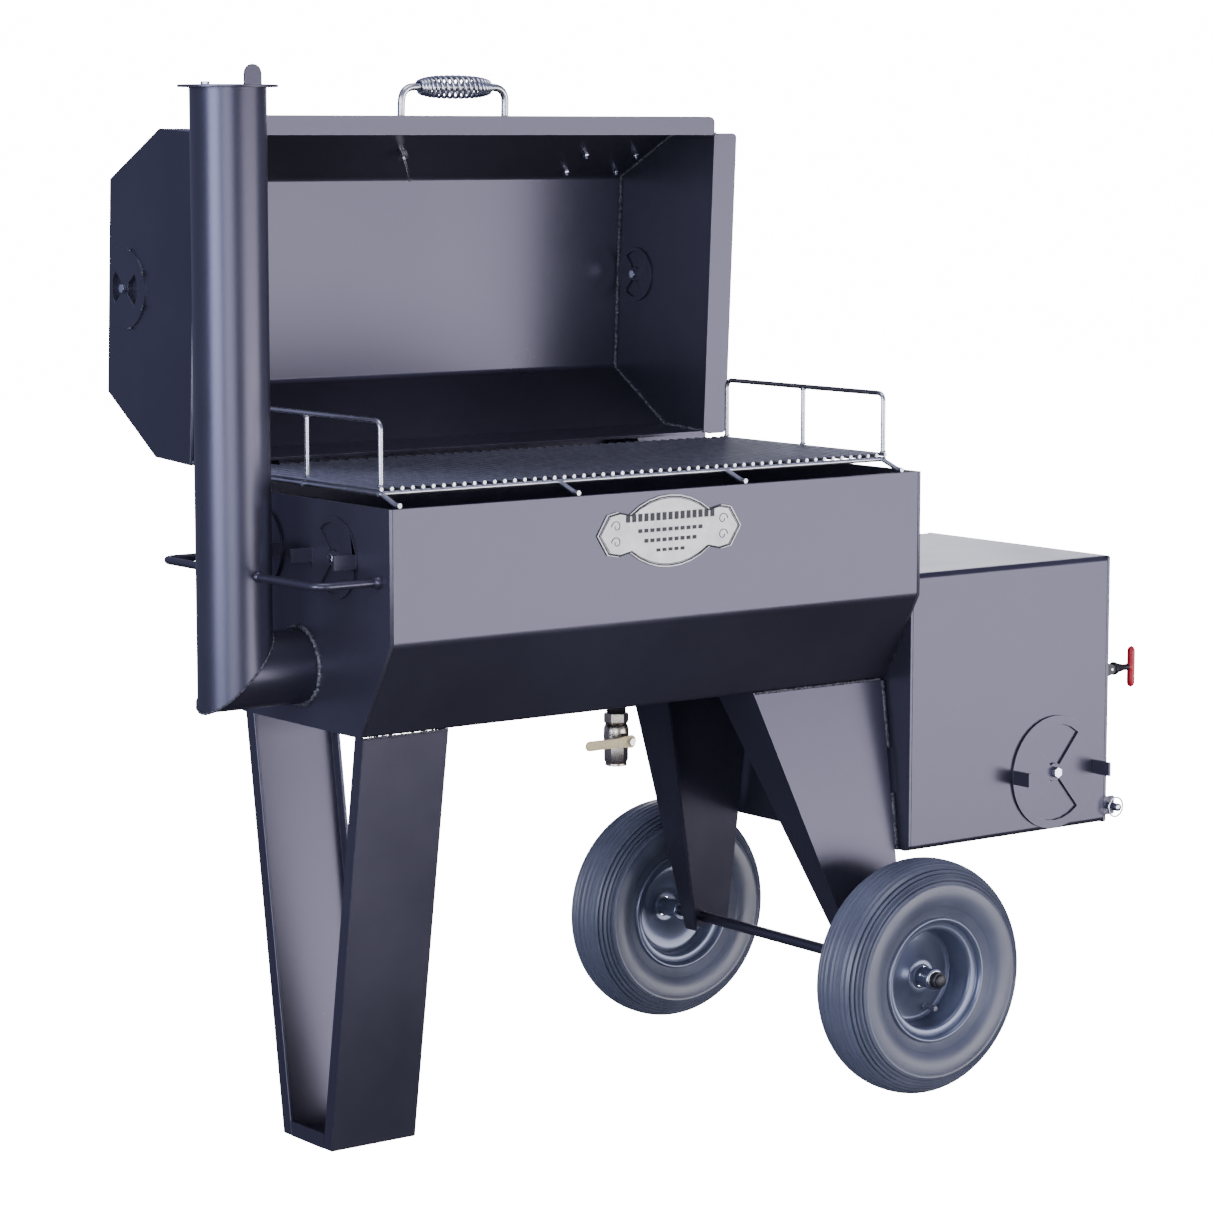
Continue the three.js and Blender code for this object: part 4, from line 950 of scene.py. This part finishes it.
def makeWheel(side):
    low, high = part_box("wheel_tyre_" + side)
    centre = (low + high) / 2
    out = Vector((0, -1 if side == "front" else 1, 0))
    body = "wheel_" + side
    bm = bmesh.new()
    spin(bm, millimetres(tyreSection()), centre, out, wheel["sides"])
    show("tyre_ribbed_" + side, bm, body, "rubber", 28, ["wheel_tyre_" + side])

    bm = bmesh.new()
    flange = [(104, 42.5), (102.6, 45), (100, 44.6), (98, 41.5), (96.5, 37), (91, 34.5), (85, 33), (82.5, 26)]
    barrel = [*flange, (81, 12), (80.5, 0), (81, -12), *flipped(flange)]
    spin(bm, millimetres(rimLine(smoothLine(barrel), 2.4)), centre, out, 96)
    disc = [(81, -12), (76, -15), (70, -15.5), (58, -13), (46, -8), (36, -2), (30, 3), (26, 6), (18.5, 7)]
    spin(bm, millimetres(rimLine(smoothLine(disc), 2.4)), centre, out, 96)
    hub = [(9.6, 42), (10.2, 42.8), (15.6, 42.8), (17, 41.6), (17, 38), (16.2, 37.4)]
    spin(bm, millimetres(hub + flipped(hub)), centre, out, 48)
    spin(bm, millimetres([(17, 6), (21, 7.2), (20.6, 9.4), (17, 11.4)]), centre, out, 48)
    show("rim_pressed_" + side, bm, body, "rim", 35, ["wheel_rim_" + side])
    made.update(("wheel_tyre_" + side, "wheel_rim_" + side))

    bm = bmesh.new()
    ray = Vector((0.42, 0, -0.91)).normalized()
    stem = [(0, 0), (7.4, 0), (7.4, 2.4), (5.2, 4.4), (4.3, 8), (4.3, 15), (4.9, 15.6), (4.9, 25), (4.2, 26.4)]
    spin(bm, millimetres([*stem, (0, 26.6)]), centre + ray * 0.064 - out * 0.012, out, 24, closed=False)
    show("air_valve_" + side, bm, body, "rubber", 40)

    bm = bmesh.new()
    ray = Vector((-0.92, 0, 0.38)).normalized()
    base = centre + out * 0.029 + ray * 0.0162
    nipple = [(0, 0), (3.6, 0), (3.6, 2.6), (2.4, 3.2), (2.2, 6.2), (3.1, 7.0), (3.1, 8.8)]
    spin(bm, millimetres([*nipple, (1.7, 10.4), (0, 10.6)]), base, ray, 20, closed=False)
    collar = [(16.9, 38.8), (17.9, 39.2), (17.9, 41.4), (17, 42.4), (13.8, 43.4), (12.6, 43.4), (12.6, 42.6)]
    spin(bm, millimetres(collar), centre, out, 40)
    show("grease_nipple_" + side, bm, body, "zinc", 40)

    bm = bmesh.new()
    cap = [(0, 43.2), (9.8, 43.2), (13.4, 43.2), (14, 44), (14, 52), (13.2, 53.2), (11.2, 53.8), (11, 56)]
    spin(bm, millimetres([*cap, (10.2, 57.6), (8, 58.6), (0, 59)]), centre, out, 40, closed=False)
    show("axle_end_" + side, bm, "smoker", "black", 35, ["axle_cap_" + side])
    made.add("axle_cap_" + side)


for side in ("front", "rear"):
    makeWheel(side)
print("wheels ready")

# round bars, pipe work
pipework = {"bar": 0.00635, "barBend": 0.024}


def makeSideBars():
    for side in ("front", "rear"):
        node = "side_bar_" + side
        low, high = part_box(node)
        level = (low.z + high.z) / 2
        radius = pipework["bar"]
        wallY, stackY = (low.y + radius, high.y) if side == "front" else (high.y - radius, low.y)
        bm = bmesh.new()
        turnX = low.x + radius
        points = [Vector((x, y, level)) for x, y in ((high.x, wallY), (turnX, wallY), (turnX, stackY))]
        sweep(bm, roundedPath(points, pipework["barBend"], 12), radius, 18)
        collar = [(6.2, 0), (10.6, 0), (10.2, 3.5), (8, 7.5), (6.2, 9)]
        spin(bm, millimetres(collar), points[0], (-1, 0, 0), 24)
        outward = (0, -1 if side == "front" else 1, 0)
        spin(bm, millimetres([(6.2, 0), (8.6, 0.6), (7.2, 5), (6.2, 6)]), points[2], outward, 24)
        show(node + "_round", bm, "smoker", "paint", 40, [node])
        made.add(node)


def makeLatch():
    low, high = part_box("latch_grip")
    grip = (low + high) / 2
    pivot = Vector(joints["latch_turn"]["pos_m"])
    shaftLow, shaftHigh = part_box("latch_shaft")
    axis = Vector((1, 0, 0))
    bm = bmesh.new()
    flange = [(0, 0.5), (17.6, 0.5), (18.8, 1.4), (18.8, 5.2), (17.6, 6.6), (12.4, 7.4), (11.8, 10), (0, 10)]
    spin(bm, millimetres(flange), pivot, axis, 36, closed=False)
    core = [(0, 9), (6.4, 9), (6.4, 24), (5.2, 25), (5.2, 27), (7.4, 28), (7.4, 38), (5.8, 39)]
    core += [(5.8, 42), (10.6, 43.4), (11.8, 45.2), (11.6, 48.6)]
    core += [(8.2, 56), (7, 64), (5.6, 67), (5.6, 82), (0, 82)]
    spin(bm, millimetres(core), pivot, axis, 32, closed=False)
    lower = [(9.4, -12.4), (20, -12.8), (38, -8.4), (43.6, -4)]
    outline = lower + [(along, -rise) for along, rise in reversed(lower)]
    for side in (-1, 1):
        rings = []
        for depth, shrink in ((5.4, 0.5), (5.8, 0), (8.2, 0), (8.7, 0.5)):
            ring = []
            for px, pz in outline:
                inward = -shrink if px > 25 else shrink
                place = Vector((px + inward, side * depth, pz * (1 - shrink / 12))) / 1000
                ring.append(bm.verts.new(pivot + place))
            rings.append(ring)
        joinRings(bm, rings)
    stub(bm, Vector((shaftLow.x, pivot.y, pivot.z)), axis, 0.0064, pivot.x - shaftLow.x + 0.002, 20)
    tongue = ((-0.008, -0.008), (0.008, -0.008), (0.008, 0.022), (-0.008, 0.022))
    rings = []
    for x in (shaftLow.x + 0.001, shaftLow.x + 0.006):
        rings.append([bm.verts.new(Vector((x, pivot.y + y, pivot.z + z))) for y, z in tongue])
    joinRings(bm, rings)
    show("latch_works", bm, "latch", "black", 35, ["latch_shaft"])

    bm = bmesh.new()
    for along, rise in ((16, 6.6), (16, -6.6), (35, 0)):
        for side in (-1, 1):
            foot = pivot + Vector((along, side * 3, rise)) / 1000
            stub(bm, foot, (0, side, 0), 0.0031, 0.0059, 16, 0.0009)
    show("latch_rivets", bm, "latch", "zinc", 35)

    bm = bmesh.new()
    half = (high.z - low.z) / 2
    radius = (high.y - low.y) / 2
    foot, length = grip.z - half + radius * 0.2, 2 * half - radius * 0.4
    line = [Vector((grip.x, grip.y, foot + length * i / 24)) for i in range(25)]
    sweep(bm, line, lambda share: radius * min(1, (1 - abs(2 * share - 1) ** 9) ** 0.5 + 0.02), 24)
    stub(bm, Vector((low.x, pivot.y, pivot.z)), axis, 0.0062, grip.x - low.x, 20)
    show("latch_t_grip", bm, "latch", "red", 40, ["latch_grip"])
    made.update(("latch_shaft", "latch_grip"))


def makeLynchPin():
    low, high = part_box("lynch_pin")
    x, z = (low.x + high.x) / 2, (low.z + high.z) / 2
    bm = bmesh.new()
    pin = [(0, 0), (5.6, 0), (7, 1), (7, 14), (6, 15.4), (4, 16), (4, 42), (2.6, 45.6), (0, 45.8)]
    spin(bm, millimetres(pin), Vector((x, low.y, z)), (0, 1, 0), 24, closed=False)
    ring = []
    for i in range(49):
        angle = 2 * math.pi * i / 48
        ring.append(Vector((x + 0.017 * math.cos(angle), low.y + 0.008, z + 0.017 * math.sin(angle))))
    sweep(bm, ring, 0.0015, 10)
    show("lynch_pin_wire", bm, "lynch_pin", "zinc", 40, ["lynch_pin"])
    made.add("lynch_pin")


makeSideBars()
makeLatch()
makeLynchPin()
print("bars and latch ready")

# drain valve
drain = {"x": 611, "y": 257, "level": 587, "top": 630, "threads": 11, "threadPitch": 2.4}


def makeDrain():
    x, y, level = drain["x"], drain["y"], drain["level"]
    top, lower = at(x, y, drain["top"]), at(x, y, drain["top"] - 54)
    bm = bmesh.new()
    down = (0, 0, -1)
    hexHead(bm, top, down, 0.0415, 0.018, 0.26)
    casing = [(0, 18), (17.6, 18), (18.4, 19), (20.6, 24), (21, 30), (21, 42), (20.4, 48)]
    spin(bm, millimetres([*casing, (18.4, 53), (17.6, 54), (0, 54)]), top, down, 40, closed=False)
    hexHead(bm, lower, down, 0.0405, 0.030, 0.26)
    spin(bm, millimetres([(10.5, 30), (17.8, 30), (18, 33), (17, 34), (10.5, 34)]), lower, down, 40)
    front = (0, -1, 0)
    neck = [(0, 12), (11.4, 12), (11.4, 22), (9.8, 23), (9.8, 29), (8.4, 30), (8.4, 36), (0, 36)]
    spin(bm, millimetres(neck), at(x, y, level), front, 30, closed=False)
    stub(bm, at(x, y - 35, level), front, 0.0044, 0.0125, 18)
    show("drain_valve_turned", bm, "smoker", "brass", 32, ["drain_valve_body"])

    bm = bmesh.new()
    thread = [(12.6, 0.5), (15.4, 0.5), (15.9, 1.2)]
    for i in range(drain["threads"]):
        thread += [(16.6, 1.6 + i * drain["threadPitch"]), (15.7, 2.8 + i * drain["threadPitch"])]
    spin(bm, millimetres(thread + [(16.6, 28.5), (16.6, 39), (12.6, 39)]), top, (0, 0, 1), 36)
    show("drain_nipple_threaded", bm, "smoker", "black", 40, ["drain_nipple"])

    bm = bmesh.new()
    hexHead(bm, at(x, y - 41.6, level), front, 0.0145, 0.0055, 0.2)
    show("lever_nut", bm, "valve_lever", "zinc", 30)
    made.update(("drain_valve_body", "drain_nipple"))

    bm = bmesh.new()

    def roundEnd(x, radius, first):
        angles = [math.radians(first + 16 * i) for i in range(11)]
        return [(x + radius * math.cos(angle), radius * math.sin(angle)) for angle in angles]

    outline = roundEnd(0, 11, -80) + [(-16, 9.2), (-26, 7.6), (-78, 8.2)]
    outline += roundEnd(-84, 8.2, 100) + [(-78, -8.2), (-26, -7.6), (-16, -9.2)]
    rings = []
    for depth, shrink in ((38.2, 0.9), (38.4, 0.3), (38.9, 0), (40.6, 0), (41.1, 0.3), (41.3, 0.9)):
        ring = []
        for px, pz in outline:
            away = max(0.4, math.hypot(px + 40, pz))
            scale = 1 - shrink / away
            ring.append(bm.verts.new(at(x + (px + 40) * scale - 40, y - depth, level + pz * (1 - shrink / 9))))
        rings.append(ring)
    joinRings(bm, rings)
    show("drain_lever_coated", bm, "valve_lever", "lever", 40, ["drain_valve_lever"])
    made.add("drain_valve_lever")


makeDrain()
print("drain ready")

# welds
welds = {
    "spacing": 0.0034,
    "stackX": -121.5,
    "middle": 257,
    "flueHeight": 762.5,
    "legTop": 669,
    "legRows": (84, 430),
    "legSpans": ((4, 154), (770, 1036)),
    "leaningLeg": (Vector((1045.5, 87, 669.7)), Vector((1045.5, 15, 178))),
    "ventPlate": 67,
}


def bead(name, runs, body, radius, seed):
    inputs = {"Spacing": welds["spacing"], "Radius": radius, "Seed": seed, "Finish": finish["weld"]}
    grow(name, "bead", inputs, polyline(name, runs), body, "weld")


def circleRun(centre, axis, radius, steps=72):
    axis = Vector(axis).normalized()
    first = axis.orthogonal().normalized()
    turns = [Quaternion(axis, math.radians(360 * i / steps)) for i in range(steps + 1)]
    return [centre + (turn @ first) * radius for turn in turns]


def makeWelds():
    middle, flueHeight, legTop = welds["middle"], welds["flueHeight"], welds["legTop"]
    flue = at(-6.5, middle, flueHeight)
    bead("weld_flue", [circleRun(flue, (1, 0, 0), 0.0615)], "smoker", 0.0046, 3)
    mitre = []
    for i in range(73):
        angle = 2 * math.pi * i / 72
        dy, dz = 59.2 * math.cos(angle), 59.2 * math.sin(angle)
        mitre.append(at(welds["stackX"] + dz, middle + dy, flueHeight + dz))
    bead("weld_mitre", [mitre], "smoker", 0.0021, 5)
    inner = [(-5.5, 1029), (-5.5, 1139), (83, 1294), (431, 1294), (519.5, 1139), (519.5, 1029)]
    for side, x in (("left", -1.6), ("right", 1046.6)):
        bead("weld_lid_" + side, [[onLid(x, y, z) for y, z in inner]], "lid", 0.0036, 11)
    seam = [[at(1050, 23, 786), at(1050, 85, 676)], [at(1052, 22, 850), at(1052, 22, 826)]]
    bead("weld_tub_firebox", seam, "smoker", 0.0034, 17)

    top, foot = welds["leaningLeg"]

    def legEdge(z):
        share = (top.z - z) / (top.z - foot.z)
        return at(top.x, top.y + (foot.y - top.y) * share, z)

    stitches = [[legEdge(662), legEdge(556)], [legEdge(474), legEdge(384)]]
    bead("weld_leg_firebox", stitches, "smoker", 0.0042, 19)
    tops = [[at(x, y, legTop) for x in ends] for ends in welds["legSpans"] for y in welds["legRows"]]
    bead("weld_leg_tops", tops, "smoker", 0.0026, 23)
    nipple = circleRun(at(drain["x"], drain["y"], legTop + 0.5), (0, 0, 1), 0.0178)
    bead("weld_nipple", [nipple], "smoker", 0.0026, 29)
    tacks = []
    for start in (190, 240, 290, 340):
        turns = [math.radians(start + step) for step in (0, 3, 6)]
        reach = [(welds["ventPlate"] * math.cos(turn), welds["ventPlate"] * math.sin(turn)) for turn in turns]
        tacks.append([onLid(-12.2, middle + y, 1241.5 + z) for y, z in reach])
    bead("weld_vent_plates", tacks, "lid", 0.002, 31)


makeWelds()
print("welds ready")

# plaque
plaque = {
    "rims": ((0.94, 0.0011), (0.90, 0.000605)),
    "rows": ((0.024, 0.084, 0.0125), (0.003, 0.072, 0.0060), (-0.013, 0.050, 0.0060), (-0.029, 0.030, 0.0050)),
    "blockPitch": 0.012,
    "blockLength": 0.0078,
    "curlRadius": 0.010,
}


def makePlaque():
    low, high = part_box("nameplate")
    centre = (low + high) / 2
    source = bmesh.new()
    source.from_mesh(nodes["nameplate"].data)
    bmesh.ops.remove_doubles(source, verts=source.verts, dist=0.00002)
    frontY = low.y
    outline = [v for v in source.verts if abs(v.co.y - frontY) < 1e-5]
    outline.sort(key=lambda v: math.atan2((v.co.z - centre.z) * 2.2, v.co.x - centre.x))
    points = [v.co.copy() for v in outline]
    source.free()
    bm = bmesh.new()
    for inset, radius in plaque["rims"]:
        line = []
        for p in points:
            across = (p.x - centre.x) * (1 - (1 - inset) * 0.5)
            line.append(Vector((centre.x + across, frontY - 0.0002, centre.z + (p.z - centre.z) * inset)))
        sweep(bm, line + [line[0]], radius, 6)
    length = plaque["blockLength"]
    for rise, half, thick in plaque["rows"]:
        low, high = centre.z + rise - thick / 2, centre.z + rise + thick / 2
        blocks = int(half / plaque["blockPitch"])
        for k in range(-blocks, blocks + 1):
            x = centre.x + k * plaque["blockPitch"] - 0.0035
            edge = ((x, low), (x + length, low), (x + length, high), (x, high))
            depths = (frontY - 0.0006, frontY + 0.0003)
            joinRings(bm, [[bm.verts.new((px, y, pz)) for px, pz in edge] for y in depths])
    for side in (-1, 1):
        for rise in (-0.0126, 0.0126):
            curl = []
            for i in range(20):
                angle = i * 0.35
                radius = plaque["curlRadius"] * (1 - angle / 9)
                x = centre.x + side * (0.106 + radius * math.cos(angle))
                curl.append(Vector((x, frontY - 0.0001, centre.z + rise + radius * math.sin(angle))))
            sweep(bm, curl, 0.0007, 6)
    show("plaque_rules", bm, "smoker", "ink", 40)


makePlaque()

# bolt ends inside the lid


def makeLidBolts():
    bm = bmesh.new()
    inward = -slopeOut
    for x, share in ((904, 0.477), (1015, 0.477), (904, 0.84), (1015, 0.84)):
        base = onSlope(x, share) + inward * 0.0049
        stub(bm, base, inward, 0.0034, 0.011, 14)
        hexHead(bm, base + inward * 0.0004, inward, 0.0115, 0.005)
    show("lid_bolt_ends", bm, "lid", "zinc", 30)


makeLidBolts()
print("plaque and bolts ready")

# everything else keeps its solid, with rounded edges
for node in sorted(nodes):
    if node not in made:
        softened(node)
print("sheet metal ready:", len(nodes), "nodes covered")
